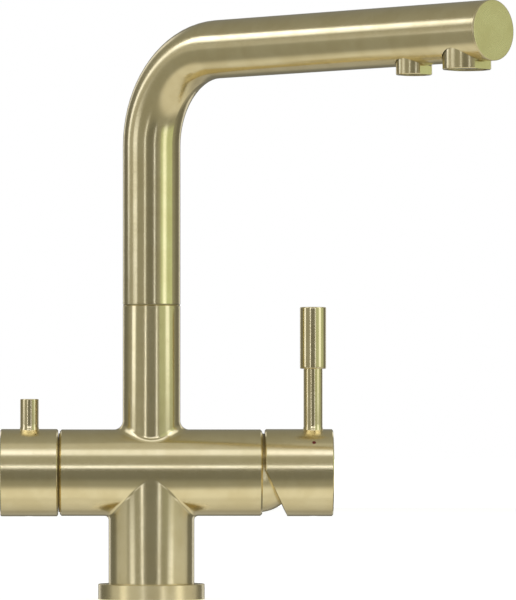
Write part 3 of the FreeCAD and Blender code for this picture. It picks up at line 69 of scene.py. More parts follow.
def hexColour(text):
    channels = [int(text[i:i + 2], 16) / 255 for i in (1, 3, 5)]
    linear = [c / 12.92 if c <= 0.04045 else ((c + 0.055) / 1.055) ** 2.4 for c in channels]
    return (*linear, 1.0)


def addNode(tree, kind, settings=None, links=None):
    # settings: node properties, or inputs by name or number; links: input -> output socket
    node = tree.nodes.new(kind)
    for key, value in (settings or {}).items():
        if isinstance(key, str) and hasattr(node, key):
            setattr(node, key, value)
        else:
            node.inputs[key].default_value = value
    for key, socket in (links or {}).items():
        tree.links.new(socket, node.inputs[key])
    return node


def newMaterial(name):
    material = bpy.data.materials.new(name)
    material.use_nodes = True
    tree = material.node_tree
    tree.nodes.clear()
    return material, tree, addNode(tree, "ShaderNodeOutputMaterial")


view = {
    "place": (-5.4, -2731.0, 89.2),   # mm
    "pitch": 1.399,                   # degrees up
    "yaw": 1.276,                     # degrees to the right
    "pixels": 5244.4,                 # focal length in picture pixels
    "longSide": 600,                  # picture pixels
    "sensor": 36.0,                   # mm
    "clip": (0.05, 60.0),             # m
}


def makeCamera():
    data = bpy.data.cameras.new("camera")
    data.sensor_width = view["sensor"]
    data.lens = view["sensor"] * view["pixels"] / view["longSide"]
    data.clip_start, data.clip_end = view["clip"]
    camera = bpy.data.objects.new("camera", data)
    camera.location = Vector(view["place"]) * mm
    camera.rotation_euler = (math.radians(90 + view["pitch"]), 0, -math.radians(view["yaw"]))
    bpy.context.scene.collection.objects.link(camera)
    bpy.context.scene.camera = camera


makeCamera()
bpy.context.scene.view_settings.view_transform = "Standard"
print("camera ready")


# A glowing tent stands round the tap. Its light changes with the direction seen from its centre:
# "rise" is that direction's Z, and "back" its Y, from -1 at the camera's side to 1 behind the tap.
studio = {
    "radius": 3.2,                 # m
    "height": 0.15,                # m, tent's centre
    "rounds": 5,                   # icosphere subdivisions
    "table": 0.80,                 # light from the bright table below
    "tableBack": 0.52,             # the same towards the back
    "tableEdge": (-0.50, -0.70),   # rise, where the table sets in
    "tableTilt": -0.06,            # the edge stands a little higher at the back
    "tableFade": (0.36, 0.56),     # back, from table to tableBack
    "shade": 0.8,                  # the tap's own shade on the table
    "shadeAt": (180, -63),         # degrees, azimuth and elevation
    "shadeFade": (0.88, 1.0),      # cosine of the angle from its middle
    "front": 0.215,                # the tent's dim side, behind the camera
    "frontFade": (-0.97, -0.88),   # back
    "side": 0.36,
    "sideBack": 0.20,
    "sideFade": (0.05, 0.5),       # back
    "top": 0.42,
    "topBack": 0.26,
    "topFade": (-0.2, 0.9),        # back
    "topEdge": (0.15, 0.4),        # rise, where the ceiling sets in
    "tableTint": (1.0, 0.985, 0.94, 1.0),
    "clothTint": (1.0, 1.0, 0.91, 1.0),
    "boxReach": 0.98,              # first soft box's distance, as a share of the tent's radius
    "boxStep": 0.004,              # each next one stands this much nearer
    "boxGrid": 24,                 # squares along a box's side
}

# Soft boxes add their light to the tent's. Azimuth runs from the front to +X, and sizes are half
# sizes, in degrees. A box hangs on the tent, or as a card "near" mm from the tap between the
# heights "low" and "high". "lights" is the group of pieces that it lights: "spout" is the spout
# with its cap and outlets, and "fixed" is everything but the spout and the flange.
cool = (0.95, 1.0, 1.25, 1.0)
plain = (1.0, 1.0, 1.04, 1.0)
green = (0.84, 1.12, 0.60, 1.0)
softBoxes = [
    {"name": "neckLeft", "az": -74.5, "near": 520, "low": 72, "high": 420, "wide": 10.5,
     "power": 1.3, "edge": 0.45, "tint": cool, "lights": "fixed"},
    {"name": "neckRight", "az": 66, "near": 520, "low": 72, "high": 420, "wide": 11.5,
     "power": 0.80, "edge": 0.5, "tint": cool, "lights": "fixed"},
    {"name": "neckWash", "az": 66, "near": 540, "low": 66, "high": 420, "wide": 38,
     "power": 0.25, "edge": 0.25, "tint": green, "lights": "fixed"},
    {"name": "pillarLeft", "az": -51, "near": 520, "low": -160, "high": 54, "wide": 9,
     "power": 1.15, "edge": 0.6, "tint": cool, "lights": "fixed"},
    {"name": "pillarLeftWash", "az": -86, "near": 540, "low": -160, "high": 60, "wide": 22,
     "power": 0.25, "edge": 0.4, "tint": plain, "lights": "fixed"},
    {"name": "pillarRight", "az": 51, "near": 520, "low": -160, "high": 54, "wide": 10,
     "power": 1.0, "edge": 0.6, "tint": cool, "lights": "fixed"},
    {"name": "pillarRightWash", "az": 81, "near": 540, "low": -160, "high": 60, "wide": 31,
     "power": 0.38, "edge": 0.4, "tint": plain, "lights": "fixed"},
    {"name": "leftStrip", "az": -24, "el": -2, "wide": 2.1, "tall": 21,
     "power": 1.95, "edge": 0.25, "tint": cool, "lights": "fixed"},
    {"name": "rightStrip", "az": 20, "el": -2, "wide": 2.4, "tall": 21,
     "power": 1.45, "edge": 0.25, "tint": cool, "lights": "fixed"},
    {"name": "topStrip", "az": -1.5, "el": 14.1, "wide": 24, "tall": 3.1,
     "power": 1.8, "edge": 0.2, "tint": cool, "lights": "fixed"},
    {"name": "handleTop", "az": 0, "el": 53, "wide": 40, "tall": 7,
     "power": 0.36, "edge": 0.5, "tint": (0.95, 1.0, 1.45, 1.0), "lights": "handles"},
    {"name": "flangeLeft", "az": -63, "el": -2, "wide": 11, "tall": 26,
     "power": 0.62, "edge": 0.6, "tint": plain, "lights": "flange"},
    {"name": "flangeStripLeft", "az": -18, "el": -2, "wide": 2.4, "tall": 21,
     "power": 1.1, "edge": 0.25, "tint": cool, "lights": "flange"},
    {"name": "flangeStripRight", "az": 25, "el": -2, "wide": 2.6, "tall": 21,
     "power": 1.3, "edge": 0.25, "tint": cool, "lights": "flange"},
    {"name": "flangeRight", "az": 63, "el": -2, "wide": 12, "tall": 26,
     "power": 0.65, "edge": 0.6, "tint": plain, "lights": "flange"},
    {"name": "flangeWashLeft", "az": -48, "el": -4, "wide": 52, "tall": 26,
     "power": 0.25, "edge": 0.3, "tint": plain, "lights": "flange"},
    {"name": "flangeWashRight", "az": 58, "el": -4, "wide": 62, "tall": 26,
     "power": 0.30, "edge": 0.3, "tint": plain, "lights": "flange"},
    {"name": "footLeft", "az": -75, "el": 44, "wide": 26, "tall": 20,
     "power": 0.9, "edge": 0.5, "tint": cool, "lights": "fixed"},
    {"name": "footRight", "az": 75, "el": 44, "wide": 26, "tall": 20,
     "power": 0.9, "edge": 0.5, "tint": cool, "lights": "fixed"},
    {"name": "tableGlow", "az": 0, "el": -58, "wide": 60, "tall": 17,
     "power": 0.15, "edge": 0.5, "tint": plain, "lights": "fixed"},
    {"name": "spoutLeft", "az": -70, "el": 4, "wide": 11, "tall": 5, "lean": -10,
     "power": 1.15, "edge": 0.6, "tint": cool, "lights": "spout"},
    {"name": "spoutOuter", "az": -102, "el": 20, "wide": 6.5, "tall": 19, "lean": -16,
     "power": 1.45, "edge": 0.5, "tint": cool, "lights": "spout"},
    {"name": "armStrip", "az": -94.5, "el": 29, "wide": 9, "tall": 7, "lean": -18,
     "power": 1.4, "edge": 0.3, "tint": cool, "lights": "spout"},
    {"name": "armWash", "az": -89, "el": 9, "wide": 12, "tall": 9,
     "power": 0.15, "edge": 0.5, "tint": plain, "lights": "spout"},
    {"name": "spoutRight", "az": 53.5, "el": 0, "wide": 10, "tall": 24,
     "power": 0.76, "edge": 0.5, "tint": cool, "lights": "spout"},
    {"name": "spoutWash", "az": 66, "el": 2, "wide": 34, "tall": 26,
     "power": 0.37, "edge": 0.3, "tint": green, "lights": "spout"},
    {"name": "spoutStripLeft", "az": -27, "el": 0, "wide": 2.6, "tall": 14,
     "power": 1.2, "edge": 0.3, "tint": cool, "lights": "spout"},
    {"name": "spoutStripRight", "az": 11.5, "el": 0, "wide": 2.6, "tall": 16,
     "power": 1.3, "edge": 0.3, "tint": cool, "lights": "spout"},
    {"name": "topBox", "az": 0, "el": 55, "wide": 62, "tall": 10,
     "power": 0.84, "edge": 0.3, "tint": cool, "lights": "fixed"},
    {"name": "topWash", "az": 0, "el": 74, "wide": 50, "tall": 13,
     "power": 0.2, "edge": 0.6, "tint": plain, "lights": "all"},
    {"name": "backLeft", "az": -152, "el": 4, "wide": 10, "tall": 30,
     "power": 0.75, "edge": 0.5, "tint": plain, "lights": "all"},
    {"name": "backRight", "az": 150, "el": 4, "wide": 10, "tall": 30,
     "power": 0.75, "edge": 0.5, "tint": plain, "lights": "all"},
]

litBy = {key: bpy.data.collections.new(key + "Lit")
         for key in ("spout", "handles", "flange", "fixed")}


def direction(azimuth, elevation):
    a = math.radians(azimuth)
    e = math.radians(elevation)
    return Vector((math.sin(a) * math.cos(e), -math.cos(a) * math.cos(e), math.sin(e)))


def makeTent():
    bm = bmesh.new()
    bmesh.ops.create_icosphere(bm, subdivisions=studio["rounds"], radius=studio["radius"])
    bmesh.ops.reverse_faces(bm, faces=bm.faces)
    mesh = bpy.data.meshes.new("tent")
    bm.to_mesh(mesh)
    bm.free()
    tent = bpy.data.objects.new("tent", mesh)
    tent.location = (0, 0, studio["height"])
    material, tree, output = newMaterial("tentCloth")
    place = addNode(tree, "ShaderNodeTexCoord")
    unit = addNode(tree, "ShaderNodeVectorMath", {"operation": "NORMALIZE"},
                   {0: place.outputs["Object"]})
    axes = addNode(tree, "ShaderNodeSeparateXYZ", links={0: unit.outputs[0]})
    rise = axes.outputs["Z"]
    back = axes.outputs["Y"]
    # the bright table starts about 30 degrees down, and it is weaker towards the back
    tilt = addNode(tree, "ShaderNodeMath", {"operation": "MULTIPLY", 1: studio["tableTilt"]},
                   {0: back})
    level = addNode(tree, "ShaderNodeMath", {"operation": "ADD"}, {0: rise, 1: tilt.outputs[0]})
    table = addNode(tree, "ShaderNodeMapRange",
                    {"interpolation_type": "SMOOTHSTEP", "From Min": studio["tableEdge"][0],
                     "From Max": studio["tableEdge"][1]}, {"Value": level.outputs[0]})
    fade = addNode(tree, "ShaderNodeMapRange",
                   {"From Min": studio["tableFade"][0], "From Max": studio["tableFade"][1],
                    "To Min": studio["table"], "To Max": studio["tableBack"]}, {"Value": back})
    # below and behind, the tap's own shade on the table
    shaded = addNode(tree, "ShaderNodeVectorMath",
                     {"operation": "DOT_PRODUCT", 1: direction(*studio["shadeAt"])},
                     {0: unit.outputs[0]})
    shade = addNode(tree, "ShaderNodeMapRange",
                    {"From Min": studio["shadeFade"][0], "From Max": studio["shadeFade"][1],
                     "To Min": 1.0, "To Max": studio["shade"]},
                    {"Value": shaded.outputs["Value"]})
    lower = addNode(tree, "ShaderNodeMath", {"operation": "MULTIPLY"},
                    {0: fade.outputs[0], 1: shade.outputs[0]})
    front = addNode(tree, "ShaderNodeMapRange",
                    {"interpolation_type": "SMOOTHSTEP", "From Min": studio["frontFade"][0],
                     "From Max": studio["frontFade"][1], "To Min": studio["front"],
                     "To Max": studio["side"]}, {"Value": back})
    rear = addNode(tree, "ShaderNodeMapRange",
                   {"interpolation_type": "SMOOTHSTEP", "From Min": studio["sideFade"][0],
                    "From Max": studio["sideFade"][1], "To Min": 0.0,
                    "To Max": studio["side"] - studio["sideBack"]}, {"Value": back})
    sides = addNode(tree, "ShaderNodeMath", {"operation": "SUBTRACT"},
                    {0: front.outputs[0], 1: rear.outputs[0]})
    above = addNode(tree, "ShaderNodeMapRange",
                    {"interpolation_type": "SMOOTHSTEP", "From Min": studio["topEdge"][0],
                     "From Max": studio["topEdge"][1]}, {"Value": rise})
    ceiling = addNode(tree, "ShaderNodeMapRange",
                      {"From Min": studio["topFade"][0], "From Max": studio["topFade"][1],
                       "To Min": studio["top"], "To Max": studio["topBack"]}, {"Value": back})
    upper = addNode(tree, "ShaderNodeMix", {"data_type": "FLOAT"},
                    {0: above.outputs[0], 2: sides.outputs[0], 3: ceiling.outputs[0]})
    strength = addNode(tree, "ShaderNodeMix", {"data_type": "FLOAT"},
                       {0: table.outputs[0], 2: upper.outputs[0], 3: lower.outputs[0]})
    tint = addNode(tree, "ShaderNodeMix",
                   {"data_type": "RGBA", 6: studio["clothTint"], 7: studio["tableTint"]},
                   {0: table.outputs[0]})
    glow = addNode(tree, "ShaderNodeEmission",
                   links={"Color": tint.outputs[2], "Strength": strength.outputs[0]})
    tree.links.new(glow.outputs[0], output.inputs["Surface"])
    mesh.materials.append(material)
    tent.visible_camera = False
    bpy.context.scene.collection.objects.link(tent)


def makeSoftBox(box, order):
    bm = bmesh.new()
    bmesh.ops.create_grid(bm, x_segments=studio["boxGrid"], y_segments=studio["boxGrid"],
                          size=1.0)
    uv = bm.loops.layers.uv.new("box")
    for face in bm.faces:
        for loop in face.loops:
            loop[uv].uv = (loop.vert.co.x, loop.vert.co.y)
    if "near" in box:
        reach = box["near"] * mm
        middle = (box["high"] + box["low"]) / 2 * mm
        halfHeight = (box["high"] - box["low"]) / 2 * mm
        halfWidth = math.radians(box["wide"]) * reach
        for vert in bm.verts:
            place = direction(box["az"] + box["wide"] * vert.co.x, 0) * reach
            vert.co = place + Vector((0, 0, middle + halfHeight * vert.co.y))
    else:
        halfWidth = math.radians(box["wide"])
        halfHeight = math.radians(box["tall"])
        centre = direction(box["az"], box["el"])
        side = Vector((0, 0, 1)).cross(centre).normalized()
        rise = centre.cross(side)
        lean = math.radians(box.get("lean", 0))
        across = side * math.cos(lean) + rise * math.sin(lean)
        up = rise * math.cos(lean) - side * math.sin(lean)
        # boxes stand one before the other
        radius = studio["radius"] * (studio["boxReach"] - studio["boxStep"] * order)
        for vert in bm.verts:
            h = halfWidth * vert.co.x
            v = halfHeight * vert.co.y
            # great-circle steps keep the box straight on the tent
            point = centre * math.cos(v) + up * math.sin(v)
            point = point * math.cos(h) + across * math.sin(h)
            vert.co = point.normalized() * radius + Vector((0, 0, studio["height"]))
    mesh = bpy.data.meshes.new(box["name"])
    bm.to_mesh(mesh)
    bm.free()
    panel = bpy.data.objects.new(box["name"], mesh)
    material, tree, output = newMaterial(box["name"] + "Cloth")
    uvMap = addNode(tree, "ShaderNodeUVMap", {"uv_map": "box"})
    span = addNode(tree, "ShaderNodeVectorMath", {"operation": "ABSOLUTE"},
                   {0: uvMap.outputs[0]})
    parts = addNode(tree, "ShaderNodeSeparateXYZ", links={0: span.outputs[0]})
    shorter = min(halfWidth, halfHeight)
    fades = []
    for axis, size in (("X", halfWidth), ("Y", halfHeight)):
        edge = box["edge"] * shorter / size
        fades.append(addNode(tree, "ShaderNodeMapRange",
                             {"interpolation_type": "SMOOTHSTEP", "From Min": 1.0,
                              "From Max": 1.0 - edge}, {"Value": parts.outputs[axis]}))
    mask = addNode(tree, "ShaderNodeMath", {"operation": "MULTIPLY"},
                   {0: fades[0].outputs[0], 1: fades[1].outputs[0]})
    strength = addNode(tree, "ShaderNodeMath", {"operation": "MULTIPLY", 1: box["power"]},
                       {0: mask.outputs[0]})
    glow = addNode(tree, "ShaderNodeEmission", {"Color": box["tint"]},
                   {"Strength": strength.outputs[0]})
    clear = addNode(tree, "ShaderNodeBsdfTransparent")
    blend = addNode(tree, "ShaderNodeAddShader",
                    links={0: glow.outputs[0], 1: clear.outputs[0]})
    tree.links.new(blend.outputs[0], output.inputs["Surface"])
    mesh.materials.append(material)
    panel.visible_camera = False
    if box["lights"] in litBy:
        panel.light_linking.receiver_collection = litBy[box["lights"]]
    bpy.context.scene.collection.objects.link(panel)


whiteTable = {
    "radius": 12.0,                # m
    "sides": 96,
    "colour": "#E7E7E7",
    "glow": 0.72,                  # how much of what is seen is plain white
    # metal mirrors the table inside the first radius, and the tent past the second
    "mirrored": (28.5 * mm, 31.0 * mm),
}


def makeFloor():
    bm = bmesh.new()
    bmesh.ops.create_circle(bm, cap_ends=True, segments=whiteTable["sides"],
                            radius=whiteTable["radius"])
    mesh = bpy.data.meshes.new("floor")
    bm.to_mesh(mesh)
    bm.free()
    floor = bpy.data.objects.new("floor", mesh)
    # melamine board: plain and matt, so that only the shadow shows
    material, tree, output = newMaterial("melamine_board_matt")
    matt = addNode(tree, "ShaderNodeBsdfDiffuse", {"Color": hexColour(whiteTable["colour"])})
    rays = addNode(tree, "ShaderNodeLightPath")
    seen = addNode(tree, "ShaderNodeMath", {"operation": "MAXIMUM"},
                   {0: rays.outputs["Is Camera Ray"], 1: rays.outputs["Is Glossy Ray"]})
    shown = addNode(tree, "ShaderNodeMath", {"operation": "MAXIMUM"},
                    {0: seen.outputs[0], 1: rays.outputs["Is Transmission Ray"]})
    glow = addNode(tree, "ShaderNodeEmission", {"Color": (1, 1, 1, 1)},
                   {"Strength": shown.outputs[0]})
    part = addNode(tree, "ShaderNodeMixShader", {0: whiteTable["glow"]},
                   {1: matt.outputs[0], 2: glow.outputs[0]})
    lit = addNode(tree, "ShaderNodeAddShader", links={0: part.outputs[0], 1: matt.outputs[0]})
    place = addNode(tree, "ShaderNodeTexCoord")
    reach = addNode(tree, "ShaderNodeVectorMath", {"operation": "LENGTH"},
                    {0: place.outputs["Object"]})
    beyond = addNode(tree, "ShaderNodeMapRange",
                     {"From Min": whiteTable["mirrored"][0],
                      "From Max": whiteTable["mirrored"][1]}, {"Value": reach.outputs["Value"]})
    through = addNode(tree, "ShaderNodeMath", {"operation": "MULTIPLY"},
                      {0: beyond.outputs[0], 1: rays.outputs["Is Glossy Ray"]})
    clear = addNode(tree, "ShaderNodeBsdfTransparent")
    whole = addNode(tree, "ShaderNodeMixShader", links={
        0: through.outputs[0], 1: lit.outputs[0], 2: clear.outputs[0]})
    tree.links.new(whole.outputs[0], output.inputs["Surface"])
    mesh.materials.append(material)
    bpy.context.scene.collection.objects.link(floor)


def makeWorld():
    world = bpy.data.worlds.new("studio")
    world.use_nodes = True
    backdrop = world.node_tree.nodes["Background"]
    backdrop.inputs["Color"].default_value = (1, 1, 1, 1)
    backdrop.inputs["Strength"].default_value = 1.0
    bpy.context.scene.world = world


makeTent()
for order, softBox in enumerate(softBoxes):
    makeSoftBox(softBox, order)
makeFloor()
makeWorld()
print("studio ready")


# PVD-coated brass, belt-brushed round each tube: lamps are drawn out along a tube and stay
# narrow round it. Real lines are 0.05 to 0.15 mm wide, drawn here 0.4 mm wide so that they show.
brushing = {
    "colour": "#E0D2A5",
    "shade": "#DACB9C",       # faint cloudiness of the coating
    "cloud": 14.0,            # mm
    "cloudSpan": (0.35, 0.68),   # noise values, from colour to shade
    "line": 0.4,              # mm, across a brush line
    "lineLength": 9.0,        # mm, along it
    "depth": 0.00006,         # mm
    "roughness": 0.19,
    "along": 0.3,             # anisotropy, rough along the tube
    "lineRoughness": 0.02,
    "cloudRoughness": 0.018,
}
toWorld = {"vector_type": "VECTOR", "convert_from": "OBJECT", "convert_to": "WORLD"}
noiseSpan = {"From Min": 0.3, "From Max": 0.7}     # nearly all noise values lie in here


def finishBrass(tree, output, stretch, lineVector, settings, rougher=None):
    # stretch: world direction that lamps are drawn out along; lineVector: lines run across its x;
    # rougher: socket with roughness to add
    place = addNode(tree, "ShaderNodeTexCoord")
    clouds = addNode(tree, "ShaderNodeTexNoise",
                     {"Scale": 1 / (settings["cloud"] * mm), "Detail": 3.0, "Roughness": 0.55},
                     {"Vector": place.outputs["Object"]})
    lines = addNode(tree, "ShaderNodeTexNoise",
                    {"Scale": 1.0, "Detail": 2.0, "Roughness": 0.6}, {"Vector": lineVector})
    tone = addNode(tree, "ShaderNodeMapRange",
                   {"interpolation_type": "SMOOTHSTEP", "From Min": settings["cloudSpan"][0],
                    "From Max": settings["cloudSpan"][1]}, {"Value": clouds.outputs[0]})
    colour = addNode(tree, "ShaderNodeMix",
                     {"data_type": "RGBA", 6: hexColour(settings["colour"]),
                      7: hexColour(settings["shade"])}, {0: tone.outputs[0]})
    cloudy = addNode(tree, "ShaderNodeMapRange",
                     {**noiseSpan, "To Min": -settings["cloudRoughness"],
                      "To Max": settings["cloudRoughness"]}, {"Value": clouds.outputs[0]})
    lined = addNode(tree, "ShaderNodeMapRange",
                    {**noiseSpan, "To Min": settings["roughness"] - settings["lineRoughness"],
                     "To Max": settings["roughness"] + settings["lineRoughness"]},
                    {"Value": lines.outputs[0]})
    rough = addNode(tree, "ShaderNodeMath", {"operation": "ADD"},
                    {0: lined.outputs[0], 1: cloudy.outputs[0]})
    if "gap" in settings:
        # painted shade: darker colour in the deep gap beside the handle, above the tube's axis
        axes = addNode(tree, "ShaderNodeSeparateXYZ", links={0: place.outputs["Object"]})
        inside = addNode(tree, "ShaderNodeMapRange",
                         {"From Min": settings["gap"],
                          "From Max": settings["gap"] - settings["gapFade"]},
                         {"Value": axes.outputs["X"]})
        over = addNode(tree, "ShaderNodeMapRange",
                       {"From Min": tubeHeight, "From Max": tubeHeight + settings["gapRise"]},
                       {"Value": axes.outputs["Z"]})
        dark = addNode(tree, "ShaderNodeMath", {"operation": "MULTIPLY"},
                       {0: inside.outputs[0], 1: over.outputs[0]})
        colour = addNode(tree, "ShaderNodeMix",
                         {"data_type": "RGBA", 7: hexColour(settings["oxide"])},
                         {0: dark.outputs[0], 6: colour.outputs[2]})
    if rougher:
        rough = addNode(tree, "ShaderNodeMath", {"operation": "ADD"},
                        {0: rough.outputs[0], 1: rougher})
    relief = addNode(tree, "ShaderNodeBump",
                     {"Strength": 1.0, "Distance": settings["depth"] * mm},
                     {"Height": lines.outputs[0]})
    shader = addNode(tree, "ShaderNodeBsdfPrincipled",
                     {"Metallic": 1.0, "Anisotropic": settings["along"]},
                     {"Base Color": colour.outputs[2], "Roughness": rough.outputs[0],
                      "Normal": relief.outputs[0], "Tangent": stretch})
    tree.links.new(shader.outputs[0], output.inputs["Surface"])


def lineCoordinates(tree, along, settings):
    # brush lines: fine steps along the tube, long drifts round it
    place = addNode(tree, "ShaderNodeTexCoord")
    drift = addNode(tree, "ShaderNodeVectorMath",
                    {"operation": "SCALE", "Scale": 1 / (settings["lineLength"] * mm)},
                    {0: place.outputs["Object"]})
    fine = addNode(tree, "ShaderNodeMath",
                   {"operation": "MULTIPLY", 1: 1 / (settings["line"] * mm)}, {0: along})
    step = addNode(tree, "ShaderNodeCombineXYZ", links={0: fine.outputs[0]})
    both = addNode(tree, "ShaderNodeVectorMath", {"operation": "ADD"},
                   {0: drift.outputs[0], 1: step.outputs[0]})
    return both.outputs[0]


def brassRound(name, axis, changes=None):
    # parts turned about one axis, such as the two handles
    material, tree, output = newMaterial(name)
    settings = {**brushing, **(changes or {})}
    place = addNode(tree, "ShaderNodeTexCoord")
    across = addNode(tree, "ShaderNodeVectorMath", {"operation": "DOT_PRODUCT", 1: axis},
                     {0: place.outputs["Object"]})
    along = addNode(tree, "ShaderNodeCombineXYZ", dict(enumerate(axis)))
    stretch = addNode(tree, "ShaderNodeVectorTransform", toWorld, {0: along.outputs[0]})
    finishBrass(tree, output, stretch.outputs[0],
                lineCoordinates(tree, across.outputs["Value"], settings), settings)
    return material


casting = {
    "seamFade": 0.4 * mm,              # brushing turns within this of the V seam
    "neckFade": (0.6 * mm, 2.5 * mm),  # and between these outside the tube's skin
    "pillarFade": 16 * mm,             # below the seam
    "pillarRougher": 0.02,             # the pillar is brushed a little coarser than the tube
}


def castingBrass():
    # the cross tube is brushed round its own axis, the neck and the pillar round theirs
    material, tree, output = newMaterial("pvd_brass_belt_brushed_body")
    place = addNode(tree, "ShaderNodeTexCoord")
    axes = addNode(tree, "ShaderNodeSeparateXYZ", links={0: place.outputs["Object"]})
    side = addNode(tree, "ShaderNodeMath", {"operation": "ABSOLUTE"}, {0: axes.outputs["X"]})
    below = addNode(tree, "ShaderNodeMath", {"operation": "SUBTRACT", 0: tubeHeight},
                    {1: axes.outputs["Z"]})
    seam = addNode(tree, "ShaderNodeMath", {"operation": "SUBTRACT"},
                   {0: below.outputs[0], 1: side.outputs[0]})
    pillar = addNode(tree, "ShaderNodeMapRange",
                     {"From Min": -casting["seamFade"], "From Max": casting["seamFade"]},
                     {"Value": seam.outputs[0]})
    # neck: outside the cross tube's skin and above its axis
    flat = addNode(tree, "ShaderNodeCombineXYZ",
                   links={1: axes.outputs["Y"], 2: below.outputs[0]})
    reach = addNode(tree, "ShaderNodeVectorMath", {"operation": "LENGTH"}, {0: flat.outputs[0]})
    outside = addNode(tree, "ShaderNodeMapRange",
                      {"From Min": tubeRadius + casting["neckFade"][0],
                       "From Max": tubeRadius + casting["neckFade"][1]},
                      {"Value": reach.outputs["Value"]})
    higher = addNode(tree, "ShaderNodeMath", {"operation": "GREATER_THAN", 1: tubeHeight},
                     {0: axes.outputs["Z"]})
    neck = addNode(tree, "ShaderNodeMath", {"operation": "MULTIPLY"},
                   {0: outside.outputs[0], 1: higher.outputs[0]})
    upright = addNode(tree, "ShaderNodeMath", {"operation": "MAXIMUM"},
                      {0: pillar.outputs[0], 1: neck.outputs[0]})
    level = addNode(tree, "ShaderNodeMath", {"operation": "SUBTRACT", 0: 1.0},
                    {1: upright.outputs[0]})
    axis = addNode(tree, "ShaderNodeCombineXYZ",
                   links={0: level.outputs[0], 2: upright.outputs[0]})
    stretch = addNode(tree, "ShaderNodeVectorTransform", toWorld, {0: axis.outputs[0]})
    along = addNode(tree, "ShaderNodeMix", {"data_type": "FLOAT"},
                    {0: upright.outputs[0], 2: axes.outputs["X"], 3: axes.outputs["Z"]})
    lower = addNode(tree, "ShaderNodeMapRange",
                    {"interpolation_type": "SMOOTHSTEP", "From Min": 0.0,
                     "From Max": casting["pillarFade"]}, {"Value": seam.outputs[0]})
    rougher = addNode(tree, "ShaderNodeMath",
                      {"operation": "MULTIPLY", 1: casting["pillarRougher"]},
                      {0: lower.outputs[0]})
    finishBrass(tree, output, stretch.outputs[0],
                lineCoordinates(tree, along.outputs[0], brushing), brushing,
                rougher.outputs[0])
    return material


bend = {
    "radius": 48.0 * mm,
    "height": 236.25 * mm,             # where the upright run ends
    "arm": (0.70711, -0.70711, 0.0),   # the arm's direction
}


def spoutBrass():
    # the brushing follows the spout up, round the bend and along the arm
    material, tree, output = newMaterial("pvd_brass_belt_brushed_spout")
    place = addNode(tree, "ShaderNodeTexCoord")
    axes = addNode(tree, "ShaderNodeSeparateXYZ", links={0: place.outputs["Object"]})
    out = addNode(tree, "ShaderNodeVectorMath", {"operation": "DOT_PRODUCT", 1: bend["arm"]},
                  {0: place.outputs["Object"]})
    rise = addNode(tree, "ShaderNodeMath", {"operation": "SUBTRACT", 1: bend["height"]},
                   {0: axes.outputs["Z"]})
    over = addNode(tree, "ShaderNodeMath", {"operation": "MAXIMUM", 1: 0.0}, {0: rise.outputs[0]})
    back = addNode(tree, "ShaderNodeMath", {"operation": "SUBTRACT", 0: bend["radius"]},
                   {1: out.outputs["Value"]})
    inner = addNode(tree, "ShaderNodeMath", {"operation": "MAXIMUM", 1: 0.0},
                    {0: back.outputs[0]})
    turn = addNode(tree, "ShaderNodeMath", {"operation": "ARCTAN2"},
                   {0: over.outputs[0], 1: inner.outputs[0]})
    upPart = addNode(tree, "ShaderNodeMath", {"operation": "COSINE"}, {0: turn.outputs[0]})
    outPart = addNode(tree, "ShaderNodeMath", {"operation": "SINE"}, {0: turn.outputs[0]})
    level = addNode(tree, "ShaderNodeVectorMath", {"operation": "SCALE", 0: bend["arm"]},
                    {"Scale": outPart.outputs[0]})
    up = addNode(tree, "ShaderNodeCombineXYZ", links={2: upPart.outputs[0]})
    axis = addNode(tree, "ShaderNodeVectorMath", {"operation": "ADD"},
                   {0: level.outputs[0], 1: up.outputs[0]})
    stretch = addNode(tree, "ShaderNodeVectorTransform", toWorld, {0: axis.outputs[0]})
    # distance along the spout: height, then the bend's arc, then the arm
    low = addNode(tree, "ShaderNodeMath", {"operation": "MINIMUM", 1: 0.0}, {0: rise.outputs[0]})
    arc = addNode(tree, "ShaderNodeMath", {"operation": "MULTIPLY", 1: bend["radius"]},
                  {0: turn.outputs[0]})
    past = addNode(tree, "ShaderNodeMath", {"operation": "MINIMUM", 1: 0.0}, {0: back.outputs[0]})
    first = addNode(tree, "ShaderNodeMath", {"operation": "ADD"},
                    {0: low.outputs[0], 1: arc.outputs[0]})
    along = addNode(tree, "ShaderNodeMath", {"operation": "SUBTRACT"},
                    {0: first.outputs[0], 1: past.outputs[0]})
    finishBrass(tree, output, stretch.outputs[0],
                lineCoordinates(tree, along.outputs[0], brushing), brushing)
    return material


def lathedBrass(name, changes=None):
    # new lathe-turned pieces: their UV map runs along the profile, and the lines go round
    material, tree, output = newMaterial(name)
    settings = {**brushing, **(changes or {})}
    profile = addNode(tree, "ShaderNodeUVMap", {"uv_map": "lathe"})
    axes = addNode(tree, "ShaderNodeSeparateXYZ", links={0: profile.outputs[0]})
    stretch = addNode(tree, "ShaderNodeTangent",
                      {"direction_type": "UV_MAP", "uv_map": "lathe"})
    finishBrass(tree, output, stretch.outputs[0],
                lineCoordinates(tree, axes.outputs["X"], settings), settings)
    return material


brassCasting = castingBrass()
brassSpout = spoutBrass()
# handles: the same finish, the lines running round the handle
brassHandle = brassRound("pvd_brass_belt_brushed_handle", (1.0, 0.0, 0.0), {"roughness": 0.2})
# outlets: coated straight after turning, with fine rings and a duller gloss
brassOutlet = brassRound("pvd_brass_turned_outlet", (0.0, 0.0, 1.0), {"roughness": 0.22})
# dome: fine bead blasting under the coating, so lamps only glow on it
brassDome = brassRound("pvd_brass_bead_blasted_dome", (1.0, 0.0, 0.0),
                       {"roughness": 0.25, "along": 0.0, "lineRoughness": 0.01,
                        # painted shade: the dome's colour darkens in the gap beside the handle
                        "oxide": "#8F7D52", "gap": 59.6 * mm, "gapFade": 0.4 * mm,
                        "gapRise": 3 * mm})
